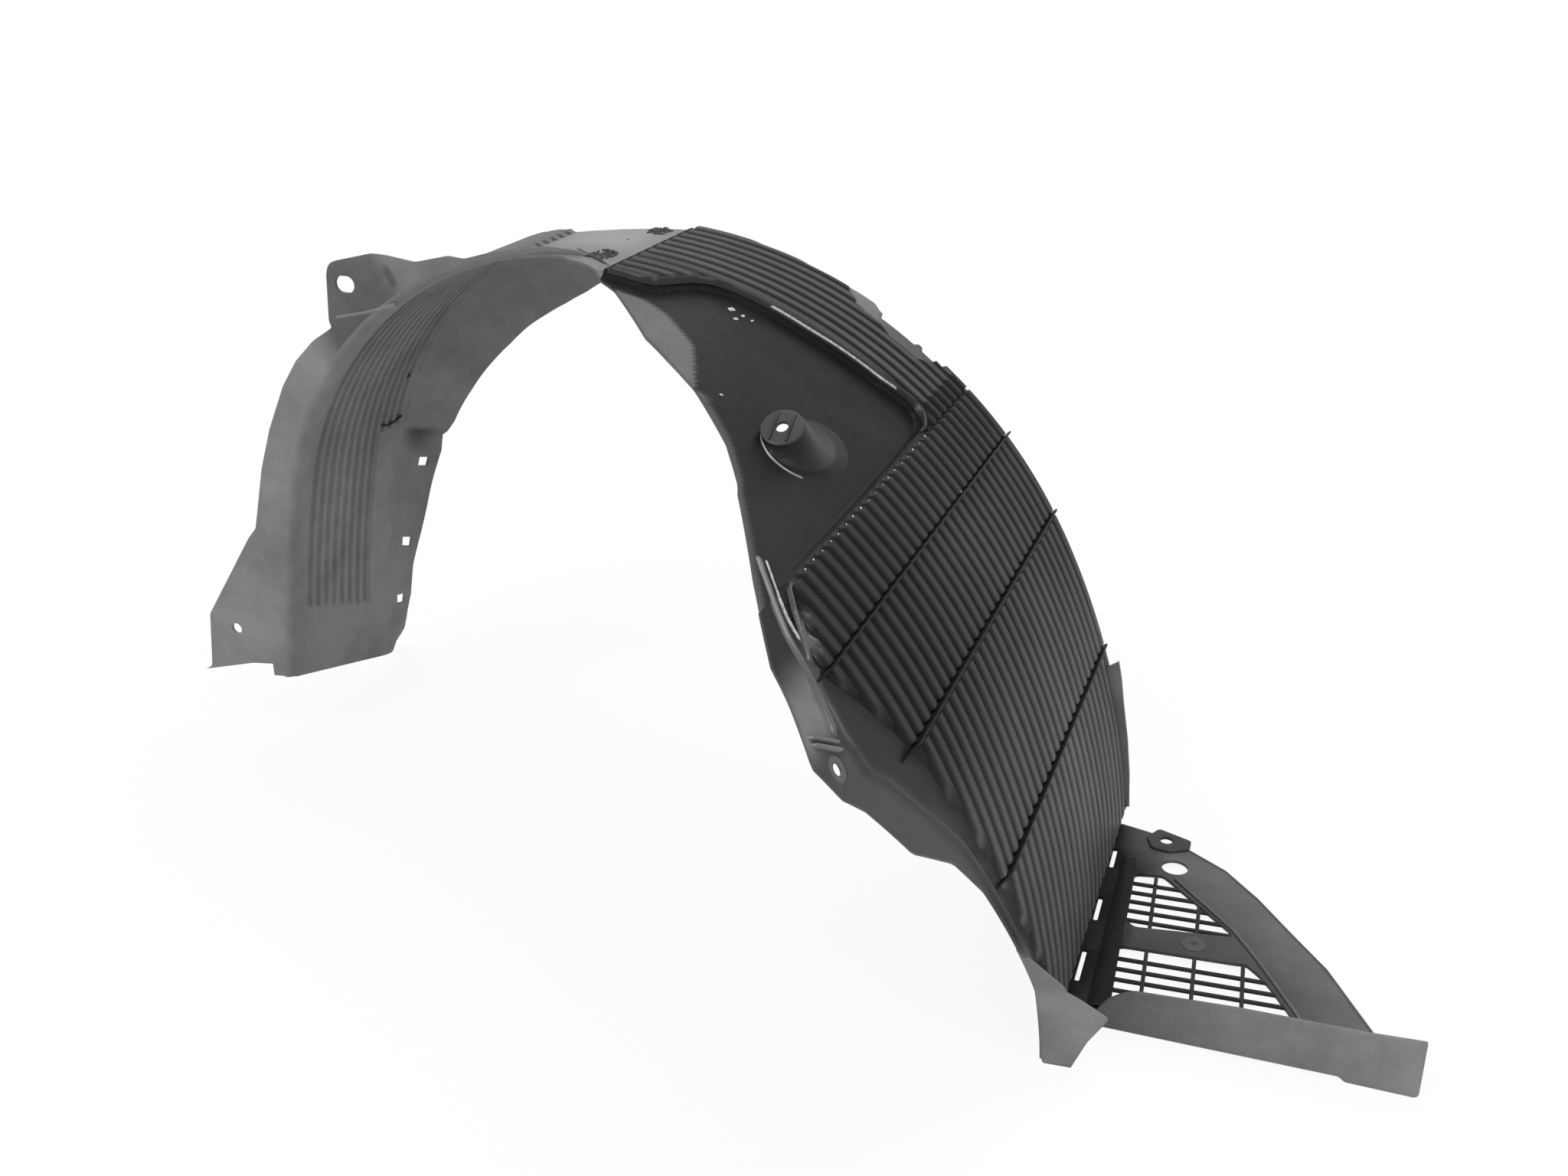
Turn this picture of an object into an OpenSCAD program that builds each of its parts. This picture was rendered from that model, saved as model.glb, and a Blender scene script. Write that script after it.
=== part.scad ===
// Front wheel arch liner, one moulded piece with a grille panel folded out at the toe
// X runs from the heel to the grille, Y runs away from the near edge, Z is up, all in mm

/* [Arch] */
// Height of the crown's outer face above the floor
crown_z = 411; // [405:1:417]
// Outer radius of the arch behind the crown
back_r = 254; // [250:1:258]
// Outer radius of the arch ahead of the crown
front_r = 352; // [348:1:356]
// Outer radius of the nearly straight heel leg
heel_r = 1157; // [1100:1:1220]
// Outer radius of the lower front leg
toe_r = 530; // [515:1:545]
// Turn from the crown back to the heel leg, in degrees
back_turn = 76.6; // [75:0.2:78]
// Turn from the crown forward to the lower front leg, in degrees
front_turn = 60; // [58:0.5:62]
// Thickness of the moulding
wall = 2.4; // [2:0.1:3]

/* [Tread] */
// Far edge of the tread behind the crown
back_far_y = 140; // [132:1:146]
// Far edge of the tread at the crown
crown_far_y = 110; // [106:1:114]
// Far edge of the tread at the toe
toe_far_y = 85; // [80:1:90]
// Spacing of the ribs ahead of the crown
rib_pitch = 13.3; // [13:0.1:13.6]
// Width of a rib's crest
rib_crest = 4.6; // [3.6:0.2:5.4]
// Run of a rib's sloping side
rib_flank = 2.6; // [2:0.2:3]
// Height of a rib above its trough
rib_rise = 3.6; // [2.6:0.2:4.6]
// Spacing of the ribs behind the crown
back_pitch = 11; // [10.6:0.1:11.4]
// Height of a rib behind the crown
back_rise = 2.6; // [1.8:0.2:3.2]
// Depth of the smooth wall below the ribbed tread
wall_drop = 4; // [2:0.5:6]
// Height of the bead along the smooth wall
bead_rise = 4; // [3:0.5:6]
// Depth of the turned-in near rim
rim_depth = 3.5; // [3:0.5:6]

/* [Fins] */
// Height of a cross fin above the ribs
fin_rise = 2.5; // [2:0.5:6]
// Thickness of a cross fin
fin_t = 1.8; // [1.6:0.1:3]

/* [Near flange] */
// Outer face of the flange up the heel leg
flange_y = -8; // [-12:1:-4]
// Width of the flange at the heel
heel_flange = 72.5; // [64:0.5:80]
// Width of the flange up the leg
leg_flange = 27; // [22:1:30]
// Height of the bracket's ear
ear_h = 48; // [44:1:52]
// Height of the lip over the crown
lip_h = 5; // [4:0.5:8]

/* [Holes] */
// Bore of the heel flange's hole
heel_bore = 9; // [7:0.5:11]
// Bore of the ear's hole
ear_bore = 13; // [11:0.5:15]
// Bore of the near edge's hole on the front leg
edge_bore = 6; // [5:0.5:8]
// Bore of the hole in the boss's pad
pad_bore = 7.2; // [6:0.2:8]
// Bore of the hole in the panel's tab
tab_bore = 8.6; // [7:0.2:10]
// Bore of the large hole in the panel
panel_bore = 18; // [15:1:20]

/* [Boss] */
// Radius of the boss at its pad
pad_r = 13; // [12:0.5:14]
// Radius of the boss at its foot
foot_r = 29; // [27:1:31]
// Lean of the pad from level towards the near side, in degrees
pad_lean = 35; // [32:1:38]

/* [Grille panel] */
// Height of the panel's underside above the floor
panel_z = 3; // [2:0.5:5]
// Far corner of the panel at the fold
panel_far_y = 79; // [76:1:81]
// Near edge of the panel, at the strip's near face
strip_y = -149; // [-153:1:-146]
// Height of the strip at the grille's far end
strip_h = 39; // [34:1:44]
// Width of a grille bar
bar_w = 2.2; // [1.8:0.2:3]
// Spacing of the bars across the grille
row_pitch = 11; // [10.6:0.1:11.4]
// Spacing of the bars along the grille
column_pitch = 30; // [28:0.5:31]
// Turn of the grille in the panel, in degrees
grille_turn = 4; // [2:0.5:5]

/* [Hidden] */
round_n = 64;
arc_n = 360;
in_wall = 0.4;
// Each stretch of tread stops this far short of its seam, in degrees, and a thin cross band closes the seam
seam_gap = 0.06;
seam_half = 0.6;
proud = 0.3;
lap = 3;
far_out = 700;

// Arc centres in the plane of X and Z, each arc tangent to the next
back_c = [0, crown_z - back_r];
front_c = [0, crown_z - front_r];
heel_c = back_c + (back_r - heel_r) * [-sin(back_turn), cos(back_turn)];
toe_c = front_c + (front_r - toe_r) * [sin(front_turn), cos(front_turn)];

// Point on the arch at turn a from the crown, raised by off above the outer face
function centre(a) = a < -back_turn ? heel_c : a < 0 ? back_c : a < front_turn ? front_c : toe_c;
function radius(a) = a < -back_turn ? heel_r : a < 0 ? back_r : a < front_turn ? front_r : toe_r;
function arch(a, off = 0) = centre(a) + (radius(a) + off) * [sin(a), cos(a)];
function arch_xyz(a, off, y) = let (p = arch(a, off)) [p[0], y, p[1]];

// The heel's turns are given for a leg that reaches the floor this far below its start, and stretch with the leg
heel_span = 10.81;
heel_stretch = (acos(-heel_c[1] / heel_r) - back_turn) / heel_span;
function heel_turn(a) = a < -back_turn ? -back_turn + (a + back_turn) * heel_stretch : a;

// Turns at which the tread changes
heel_end = heel_turn(-90);
rib_start = heel_turn(-83);
rib_widen = -74;
rib_stop = -9;
ridge_turn = 5.8;
bridge_stop = asin(front_r * sin(ridge_turn) / back_r);
corner_turn = 43;
toe_end = acos((panel_z - toe_c[1]) / toe_r);
fold_x = arch(toe_end)[0];

// Near edge of the tread against the turn, from the lip over the crown to the toe
near_edge = [
    [-9, -10], [-2, -14], [3, -30], [8.4, -57], [16.4, -114], [24.7, -152], [30.7, -186],
    [34.2, -214], [34.8, -222], [40.9, -276], [46.6, -320], [54, -347], [57.6, -339],
    [64.1, -303], [67.2, -266], [70.6, -243], [76.2, -218], [81, -195], [90, -189]
];
// Near ends of the ribs against the turn, below the corner of the smooth wall
near_ribs = [[43, -262], [46, -277], [49.1, -298], [59.1, -265], [69.9, -229], [81, -186], [90, -160]];
function near_y(a) = lookup(a, near_edge);
function rib_y(a) = lookup(a, near_ribs);
function far_y(a) = crown_far_y + (toe_far_y - crown_far_y) * (arch(a)[0] / fold_x);
toe_y = near_y(toe_end);

// Cross-section of the moulding: outer points run along Y, the inner face follows them
module section(r, points) {
    outer = [for (p = points) [r + p[0], p[1]]];
    inner = [for (i = [len(points) - 1:-1:0]) [r + points[i][0] - wall, points[i][1]]];
    polygon(concat(outer, inner));
}

// Outer points of n ribs from y0 on
function ribs(y0, n, pitch, rise) = [
    for (i = [0:n - 1])
        let (y = y0 + i * pitch)
            each [[0, y], [rise, y + rib_flank], [rise, y + rib_flank + rib_crest], [0, y + 2 * rib_flank + rib_crest]]
];

// Sweep of a cross-section from turn a0 to turn a1 about one arc's axis
module sweep(c, a0, a1) {
    translate([c[0], 0, c[1]])
        rotate([-90, 0, 0])
            rotate([0, 0, a0 - 90])
                rotate_extrude(angle = a1 - a0, $fn = arc_n)
                    children();
}

// Raised or sunk band from turn a0 to a1, between two offsets and two sides
module band(a0, a1, off0, off1, y0, y1) {
    r = radius(a0);
    sweep(centre(a0), a0, a1)
        polygon([[r + off0, y0], [r + off1, y0], [r + off1, y1], [r + off0, y1]]);
}

// Upright prism over an outline in X and Y
module plan_cut(points) {
    translate([0, 0, -far_out])
        linear_extrude(2 * far_out)
            polygon(points);
}

// Prism along X over an outline in Y and Z, on the side of the front leg
module side_cut(points, x0, x1) {
    translate([x0, 0, 0])
        rotate([90, 0, 90])
            linear_extrude(x1 - x0)
                polygon(points);
}

// Plate across Y, with its outline in X and Z and its near face at y
module plate(points, y) {
    translate([0, y + wall, 0])
        rotate([90, 0, 0])
            linear_extrude(wall)
                polygon(points);
}

// Bar in a flat outline from p to q
module bar(p, q, w) {
    d = q - p;
    n = [-d[1], d[0]] / norm(d) * w / 2;
    polygon([p + n, q + n, q - n, p - n]);
}

// Strip along the arch's far side, falling in a bow from the tread's far boundary to the far edge
module far_strip(stations) {
    n = len(stations);
    points = [
        for (s = stations)
            let (y0 = s[2] - lap, y2 = s[3], y1 = y0 + (y2 - y0) * bow_run, drop = s[1] * bow_fall)
                each [
                    arch_xyz(s[0], -in_wall, y0), arch_xyz(s[0], -drop - in_wall, y1), arch_xyz(s[0], -s[1] - in_wall, y2),
                    arch_xyz(s[0], -s[1] - wall, y2), arch_xyz(s[0], -drop - wall, y1), arch_xyz(s[0], -wall + in_wall, y0)
                ]
    ];
    sides = [
        for (i = [0:n - 2])
            for (k = [0:5])
                let (a = 6 * i + k, b = 6 * i + (k + 1) % 6)
                    each [[a, b, b + 6], [a, b + 6, a + 6]]
    ];
    e = 6 * (n - 1);
    ends = [
        for (t = [[5, 4, 1], [5, 1, 0], [4, 3, 2], [4, 2, 1]])
            each [t, [e + t[2], e + t[1], e + t[0]]]
    ];
    polyhedron(points = points, faces = concat(sides, ends));
}
bow_run = 0.55;
bow_fall = 0.42;

back_near = flange_y;
leg_ribs = 8;
upper_ribs = 11;
rib_y0 = 12;
crown_ribs = 8;
front_ribs = 31;
front_y0 = 2 - 23 * rib_pitch;

// Thin cross band that closes a seam at turn a on an arc
module seam(c, r, a, half, y0, y1) {
    sweep(c, a - half, a + half)
        polygon([[r - wall - proud, y0], [r + proud, y0], [r + proud, y1], [r - wall - proud, y1]]);
}

// Heel leg and the arch behind the crown
module back_tread() {
    leg = concat([[0, back_near]], ribs(rib_y0, leg_ribs, back_pitch, back_rise), [[0, back_far_y]]);
    plain = [[0, back_near], [0, back_far_y]];
    more = ribs(rib_y0 + leg_ribs * back_pitch, upper_ribs - leg_ribs, back_pitch, back_rise);
    intersection() {
        union() {
            sweep(heel_c, heel_end, rib_start - seam_gap) section(heel_r, plain);
            seam(heel_c, heel_r, rib_start, seam_half / 4, back_near - proud, back_far_y + proud);
            sweep(heel_c, rib_start + seam_gap, -back_turn - seam_gap) section(heel_r, leg);
        }
        side_cut(foot_line(), -far_out, 0);
    }
    seam(back_c, back_r, -back_turn, seam_half, back_near - proud, back_far_y + proud);
    intersection() {
        union() {
            sweep(back_c, -back_turn + seam_gap, rib_stop - seam_gap) section(back_r, leg);
            sweep(back_c, rib_widen, rib_stop - 4 * seam_gap)
                polygon(concat([[back_r - in_wall, more[0][1]]], [for (p = more) [back_r + p[0], p[1]]],
                    [[back_r - in_wall, more[len(more) - 1][1]]]));
            seam(back_c, back_r, rib_stop, seam_half, back_near - proud, back_far_y + proud);
        }
        plan_cut(concat(
            [[0, back_near - 1], [-far_out, back_near - 1], [-far_out, back_far_y + 1], [arch(-37)[0], back_far_y + 1]],
            [for (a = [-35:2:1]) [arch(a)[0], far_line(a)]]
        ));
    }
}

// The heel's bottom edge slopes down to its far corner, which stands on the floor
heel_near_z = 54;
function foot_z(y) = heel_near_z * (far_side - y) / (far_side - back_near);
function foot_line() = [
    [back_near - 1, foot_z(back_near - 1)], [far_line(heel_end), foot_z(far_line(heel_end))],
    foot_point(-86), foot_point(-84), foot_point(-82),
    [back_far_y + 1, arch(heel_turn(-80.5))[1]], [back_far_y + 1, crown_z], [back_near - 1, crown_z]
];
function foot_point(a) = [far_line(heel_turn(a)), arch(heel_turn(a))[1]];

// Far boundary of the tread, against the turn
far_lines = [
    [-90, 105], [-86, 112], [-84, 122], [-82, 137], [-80, back_far_y], [-37, back_far_y], [-25, 112], [-15, 86],
    [-9, 71], [-4.5, 72], [0, 80], [ridge_turn, crown_far_y - 10], [12, crown_far_y - 2]
];
function far_line(a) = lookup(a, [for (p = far_lines) [heel_turn(p[0]), p[1]]]);

// Turned-in far wall from the heel to past the crown: turn, depth and how far short of the far side it ends
far_side = 165;
far_wall = [
    [-91, -24, 0], [-88.2, -24, 0], [-87.2, -19, 1], [-86.4, -11, 1], [-85.6, -5, 0], [-84.4, 0, 0], [-83, 2, 0],
    [-81.3, 9, 0], [-79.3, 16, 0], [-77.4, 23, 0], [-76.6, 24, 3], [-75.7, 27, 1], [-73, 31, 0],
    [-69, 34, 0], [-64, 38, 0], [-59, 41, 0], [-54, 44, 0], [-48, 47, 0], [-42, 48, 0],
    [-36, 50, 0], [-30, 51, 0], [-24, 50, 0], [-18, 46, 2], [-12, 40, 5], [-6, 35, 8], [0, 30, 14],
    [6, 24, 24], [12, 16, 38], [17, 9, 49]
];
far_stations = [for (s = far_wall) let (a = heel_turn(s[0])) [a, s[1], far_line(a), far_side - s[2]]];
module far_side_wall() {
    intersection() {
        far_strip(far_stations);
        side_cut([
            [back_near, foot_z(back_near)], [far_side, 0], [far_side + 1, 0], [far_side + 1, far_out], [back_near, far_out]
        ], -far_out, far_out);
    }
}

// Smooth bridge over the crown, up to the cross ridge
module bridge() {
    intersection() {
        union() {
            sweep(back_c, rib_stop + seam_gap, bridge_stop - seam_gap) section(back_r, [[0, -60], [0, back_far_y]]);
            band(ridge_turn - 0.5, ridge_turn + 0.5, -wall_drop - wall - proud, bead_rise, -60, back_far_y);
        }
        plan_cut(crown_outline());
    }
}

// Outline of the tread from above, between the end of the back ribs and the smooth wall's corner
function crown_outline() = concat(
    [for (a = [rib_stop:1.5:corner_turn + 1]) [arch(a)[0], near_y(a)]],
    [for (p = far_notch) [arch(p[0])[0], far_y(p[0]) - p[1]]],
    [for (a = [ridge_turn - 0.5, 0, -4.5, rib_stop]) [arch(a)[0], far_line(a) + (a > 0 ? 4 : 0)]]
);
// Notch in the far edge ahead of the crown, with a small tab inside it: turn and depth
far_notch = [
    [corner_turn + 1, 0], [39.9, 0], [39.6, 9], [36.8, 9], [36.5, 3], [35.9, 3], [35.6, 9], [30.9, 9], [30.6, 0],
    [12, 0], [ridge_turn, 8]
];
function rim_outline() = concat(
    [for (a = [rib_stop:1.5:corner_turn + 1]) [arch(a)[0], near_y(a)]],
    [for (a = [corner_turn + 1:-1.5:rib_stop]) [arch(a)[0], near_y(a) + wall]]
);

// Ribs at the far side and the smooth wall at the near side, ahead of the ridge
module shoulder() {
    smooth = [[-wall_drop, -330], [-wall_drop, -9], [bead_rise, -5.4], [bead_rise, -2], [0, 1]];
    ribbed = ribs(2, crown_ribs, rib_pitch, rib_rise);
    intersection() {
        union() {
            sweep(front_c, ridge_turn + seam_gap, corner_turn - seam_gap)
                section(front_r, concat(smooth, ribbed, [[0, crown_far_y + 4]]));
            band(corner_turn - 0.4, corner_turn + 0.4, -wall_drop - wall - proud, bead_rise, -330, 0);
            band(corner_turn - 0.3, corner_turn + 0.3, -wall - proud, proud, -4, crown_far_y + 4);
        }
        plan_cut(crown_outline());
    }
    intersection() {
        band(ridge_turn + 0.2, corner_turn + 0.2, -wall_drop - rim_depth, -wall_drop - proud, -330, 0);
        plan_cut(rim_outline());
    }
}

// Outlines of the front leg in Y and Z
leg_turns = [for (i = [0:24]) corner_turn + (toe_end - corner_turn) * i / 24];
function leg_near(dy) = [for (a = leg_turns) [near_y(a) + dy, arch(a)[1]]];
function leg_rib_near(dy) = [for (a = leg_turns) [rib_y(a) + dy, arch(a)[1]]];
top_z = arch(corner_turn - 2)[1];
function leg_far() = [[toe_far_y, panel_z], [far_y(corner_turn), top_z]];
function flip(list) = [for (i = [len(list) - 1:-1:0]) list[i]];

// Ribs over the whole width of the front leg
module leg_tread() {
    ribbed = concat([[0, -345]], ribs(front_y0, front_ribs, rib_pitch, rib_rise), [[0, crown_far_y + 4]]);
    intersection() {
        union() {
            sweep(front_c, corner_turn + seam_gap, front_turn - seam_gap) section(front_r, ribbed);
            seam(front_c, front_r, front_turn, seam_half / 2, -345, crown_far_y + 4);
            sweep(toe_c, front_turn + seam_gap, toe_end + 3.6) section(toe_r, ribbed);
        }
        side_cut(concat([[rib_y(corner_turn), top_z]], leg_rib_near(0), leg_far()), 60, far_out);
    }
}

// Smooth near band of the front leg, with its turned-in rim
module leg_band() {
    step = 0.8;
    intersection() {
        union() {
            sweep(front_c, corner_turn + 2 * seam_gap, front_turn - 2 * seam_gap)
                section(front_r, [[-step, -360], [-step, -140]]);
            band(front_turn - 0.4, front_turn + 0.4, -step - wall - proud, proud - step, -360, -140);
            sweep(toe_c, front_turn + 2 * seam_gap, toe_end + 4.6) section(toe_r, [[-step, -360], [-step, -140]]);
        }
        side_cut(concat([[near_y(corner_turn), top_z]], leg_near(0), flip(leg_rib_near(lap)),
            [[rib_y(corner_turn) + lap, top_z]]), 60, far_out);
    }
    intersection() {
        union() {
            band(corner_turn - 0.2, front_turn - 3 * seam_gap, -step - rim_depth, -step - proud, -360, -140);
            band(front_turn - 0.5, front_turn + 0.5, -step - rim_depth + proud, -step - 2 * proud, -360, -140);
            band(front_turn + 3 * seam_gap, toe_end + 5.6, -step - rim_depth, -step - proud, -360, -140);
        }
        side_cut(concat(leg_near(0), flip(leg_near(wall))), 60, far_out);
    }
}

// Thin blade across the tread, square to it
module fin(a, y0, y1) {
    p = arch_xyz(a, -wall - 2 * proud, 0);
    translate(p)
        rotate([0, a, 0])
            translate([-fin_t / 2, y0, 0])
                cube([fin_t, y1 - y0, wall + 2 * proud + rib_rise + fin_rise]);
}

fin_turns = [50, front_turn + 0.1, 71.3];
module fins() {
    for (a = fin_turns)
        fin(a, rib_y(a) - 6, far_y(a) + 4);
}

// Flange up the near side of the heel leg, the ear with its hole, and the lip over the crown
flange_line = [
    [-85.4, heel_flange + 8], [-85.1, heel_flange + 1], [-82.9, heel_flange], [-79.2, 36], [-78.7, leg_flange + 3],
    [-74.9, leg_flange + 1], [-68, leg_flange], [-60, leg_flange], [-54.9, leg_flange - 1], [-50.2, 22.6],
    [-46, 17], [-45.6, 21.6], [-40.6, ear_h - 3], [-39.6, ear_h], [-38.7, ear_h], [-32.9, 35.8], [-31, 29.5],
    [-27.1, 15.5], [-21.4, 10.3], [-19, lip_h], [-12.9, lip_h], [-4.8, lip_h], [0, lip_h - 2], [2, 0]
];
module near_flange() {
    outer = [for (p = flange_line) arch(heel_turn(p[0]), p[1])];
    inner = [for (a = [2:-3:-82]) arch(heel_turn(a), -wall / 2)];
    foot = [for (p = [[-84.6, -wall / 2], [-84.8, 13.7], [-84.3, 14.6], [-84.5, 33]]) arch(heel_turn(p[0]), p[1])];
    plate(concat(outer, inner, foot), back_near - wall + in_wall);
}

// Radial tab at the far edge low on the front leg, in turns from the toe
tab_line = [[-14, 8], [-12.4, 7], [-10.4, 5], [-7.4, 4], [-4.4, 3], [-1.4, 2]];
module far_tab() {
    outer = [for (p = tab_line) arch(toe_end + p[0], p[1] + rib_rise)];
    inner = [for (a = [-1.4:-2:-13.4]) arch(toe_end + a, -wall / 2)];
    plate(concat(outer, inner), toe_far_y - wall);
}

// Flange hanging at the near side of the toe
module toe_plate() {
    top = arch(toe_end - 9, -wall);
    outer = [top, [fold_x + 34, 39], [fold_x + 24, 21], [fold_x + 16, 0], [fold_x + 1, 0], [fold_x - 1, 20]];
    plate(concat(outer, [arch(toe_end - 5.4, -wall)]), toe_y - wall + in_wall);
}

// Hollow boss on the smooth wall: a cone that leans over to the far side, cut off by a pad with a hole
boss_turn = 33.3;
boss_y = -155.6;
boss_rise = 8;
boss_h = 32;
boss_lean = 26;
boss_side = 14;
module boss_place() {
    translate(arch_xyz(boss_turn, boss_rise, boss_y))
        rotate([pad_lean, 0, 0])
            children();
}
module boss_cone(inset) {
    past = 12;
    slope = (foot_r - pad_r) / boss_h;
    skin = inset * 1.15;
    intersection() {
        rotate([boss_lean, -boss_side, 0])
            translate([0, 0, -boss_h])
                cylinder(h = boss_h + past, r1 = foot_r - skin, r2 = pad_r - slope * past - skin, $fn = round_n);
        translate([-50, -50, -80 - inset])
            cube([100, 120, 80]);
    }
}
module boss_body() {
    difference() {
        boss_cone(0);
        boss_inside();
    }
}
// Everything below the middle of the wall, seen from the boss
module boss_inside() {
    rotate([-pad_lean, 0, 0])
        translate(-arch_xyz(boss_turn, boss_rise, boss_y))
            translate([front_c[0], -400, front_c[1]])
                rotate([-90, 0, 0])
                    cylinder(h = 500, r = front_r - wall_drop - wall / 2, $fn = arc_n);
}
// Two low ridges beside the hole
module pad_ridges() {
    for (x = [-4.7, 5.2])
        translate([x - 0.6, -9, -in_wall])
            cube([1.2, 19, 1 + in_wall]);
}

// Everything that follows the arch
module arch_body() {
    back_tread();
    far_side_wall();
    bridge();
    shoulder();
    leg_tread();
    leg_band();
    fins();
    near_flange();
    far_tab();
    toe_plate();
    boss_place() {
        boss_body();
        pad_ridges();
    }
    edge_bead();
}

// Raised step across the near band, above the hole in the near edge
module edge_bead() {
    intersection() {
        band(50, 57, -wall, 2.2, -345, -300);
        side_cut([[-342, arch(51.6)[1]], [-312, arch(54.4)[1]], [-312, arch(55.1)[1]], [-342, arch(52.4)[1]]], 60, far_out);
    }
}

// Outline of the grille panel from the fold round the far edge to the strip
panel_line = [
    [fold_x - 6, panel_far_y], [fold_x + 23, panel_far_y - 5], [fold_x + 51, panel_far_y - 16],
    [fold_x + 82, panel_far_y - 35], [fold_x + 106, panel_far_y - 62], [fold_x + 129, panel_far_y - 96],
    [fold_x + 151, panel_far_y - 130], [fold_x + 179, panel_far_y - 182], [fold_x + 203, strip_y],
    [fold_x - 6, strip_y]
];
// The two windows, set along X from the fold and along Y from the middle of the panel
upper_window = [[-43, 72], [-44, 16], [-39, 9], [24, 15], [23, 20], [-24, 75]];
lower_window = [[-47, -16], [-43, -14], [28, -13], [33, -12], [41, -21], [48, -32], [61, -58], [70, -76], [-46, -77]];
grille_mid = [fold_x + 68, -52];
module window(points) {
    polygon([for (p = points) p]);
}

module bars() {
    for (i = [0:5])
        translate([-60, 17 + i * row_pitch - bar_w / 2]) square([150, bar_w]);
    for (i = [1:5])
        translate([-60, -16 - i * row_pitch - bar_w / 2]) square([150, bar_w]);
    for (i = [-1:1])
        translate([i * column_pitch + 1.5 - bar_w / 2, -90]) square([bar_w, 180]);
}

module grille_holes() {
    translate([grille_mid[0], grille_mid[1], panel_z - 1])
        rotate([0, 0, grille_turn])
            linear_extrude(wall + 2)
                difference() {
                    union() {
                        window(upper_window);
                        window(lower_window);
                    }
                    bars();
                }
}

// Raised lines on the panel: the outer rim, the crease beside the windows and two ridges at the fold
module panel_lines() {
    c = [fold_x + 60, -50];
    inset = [for (p = panel_line) c + (p - c) * 0.965];
    n = len(panel_line) - 2;
    translate([0, 0, panel_z + wall - in_wall])
        linear_extrude(2 + in_wall)
            union() {
                polygon(concat([for (i = [0:n]) panel_line[i]], [for (i = [n:-1:0]) inset[i]]));
                for (p = crease_line())
                    bar(p[0], p[1], 2.4);
                translate([fold_x + 9, -128]) square([10, 172]);
            }
}
function crease_line() = [
    [[fold_x + 54, 18], [fold_x + 98, -31]],
    [[fold_x + 97, -30], [fold_x + 116, -58]],
    [[fold_x + 115, -57], [fold_x + 142, -104]],
    [[fold_x + 141, -103], [fold_x + 160, strip_y + 1]]
];

tab_at = [fold_x + 35, panel_far_y - 15];
hole_at = [fold_x + 45, panel_far_y - 45];
boss_at = [fold_x + 68, -52];
module panel() {
    difference() {
        union() {
            translate([0, 0, panel_z])
                linear_extrude(wall)
                    polygon(panel_line);
            panel_lines();
            translate([tab_at[0], tab_at[1], panel_z + wall - in_wall])
                linear_extrude(2 + in_wall)
                    polygon([[-14, 1], [-7, 14], [17, 5], [17, -6], [4, -14], [-9, -12]]);
            translate([boss_at[0], boss_at[1], panel_z])
                cylinder(h = wall + 1, r = 8, $fn = round_n);
        }
        grille_holes();
        translate([tab_at[0], tab_at[1], -1])
            cylinder(h = 30, r = tab_bore / 2, $fn = round_n);
        translate([hole_at[0], hole_at[1], -1])
            cylinder(h = 30, r = panel_bore / 2, $fn = round_n);
    }
    strip();
}

// Upright strip along the panel's near edge, with a step down to the floor at its far end
module strip() {
    x0 = fold_x + 29;
    x1 = grille_x;
    plate([
        [x0 + 2, panel_z], [x0, panel_z + 5], [x0 + 6, 24], [x0 + 12, 30], [x0 + 73, strip_h - 4],
        [x0 + 147, strip_h - 2], [x1 - 3, strip_h], [x1, 4], [x1 - 4, 0], [x1 - 40, 0], [x1 - 44, panel_z]
    ], strip_y);
}

// Three slots through the fold
slot_ys = [[44, 19], [-19, -47], [-81, -115]];
slot_w = 3.2;
module fold_slots() {
    for (s = slot_ys)
        translate([fold_x + 0.8, s[1], -1])
            cube([slot_w, s[0] - s[1], 12]);
}

// Holes through the arch
module heel_hole() {
    p = arch(heel_turn(-83.2), 47.4);
    translate([p[0], back_near - 20, p[1]])
        rotate([-90, 0, 0])
            cylinder(h = 40, r = heel_bore / 2, $fn = round_n);
}
module ear_hole() {
    p = arch(-39.3, 30.6);
    translate([p[0], back_near - 20, p[1]])
        rotate([-90, 0, 0])
            cylinder(h = 26, r = ear_bore / 2, $fn = round_n);
}
module edge_hole() {
    translate(arch_xyz(55.6, -14, -331))
        rotate([0, 55.6, 0])
            cylinder(h = 28, r = edge_bore / 2, $fn = round_n);
}
module pad_hole() {
    boss_place()
        translate([0, 0, -wall - 4])
            cylinder(h = wall + 10, r = pad_bore / 2, $fn = round_n);
}
clip_holes = [for (a = [-78, -81.8, -84.5]) heel_turn(a)];
module clip_slots() {
    for (a = clip_holes)
        translate(arch_xyz(a, -40, 154))
            rotate([0, a, 0])
                translate([-4, 0, 0])
                    cube([8, 6, 60]);
}

// Middle of the part from above, which is the origin of the finished part
heel_x = arch(heel_turn(flange_line[0][0]), flange_line[0][1])[0];
grille_x = fold_x + 210;
near_side = min([for (p = near_edge) p[1]]);
mid = [(heel_x + grille_x) / 2, (near_side + far_side) / 2];

module liner() {
    color([0.09, 0.09, 0.1])
        translate([-mid[0], -mid[1], 0])
        difference() {
            union() {
                difference() {
                    arch_body();
                    boss_place() boss_cone(wall);
                    fold_slots();
                }
                difference() {
                    panel();
                    fold_slots();
                }
            }
            heel_hole();
            ear_hole();
            edge_hole();
            pad_hole();
            clip_slots();
        }
}

liner();
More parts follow.
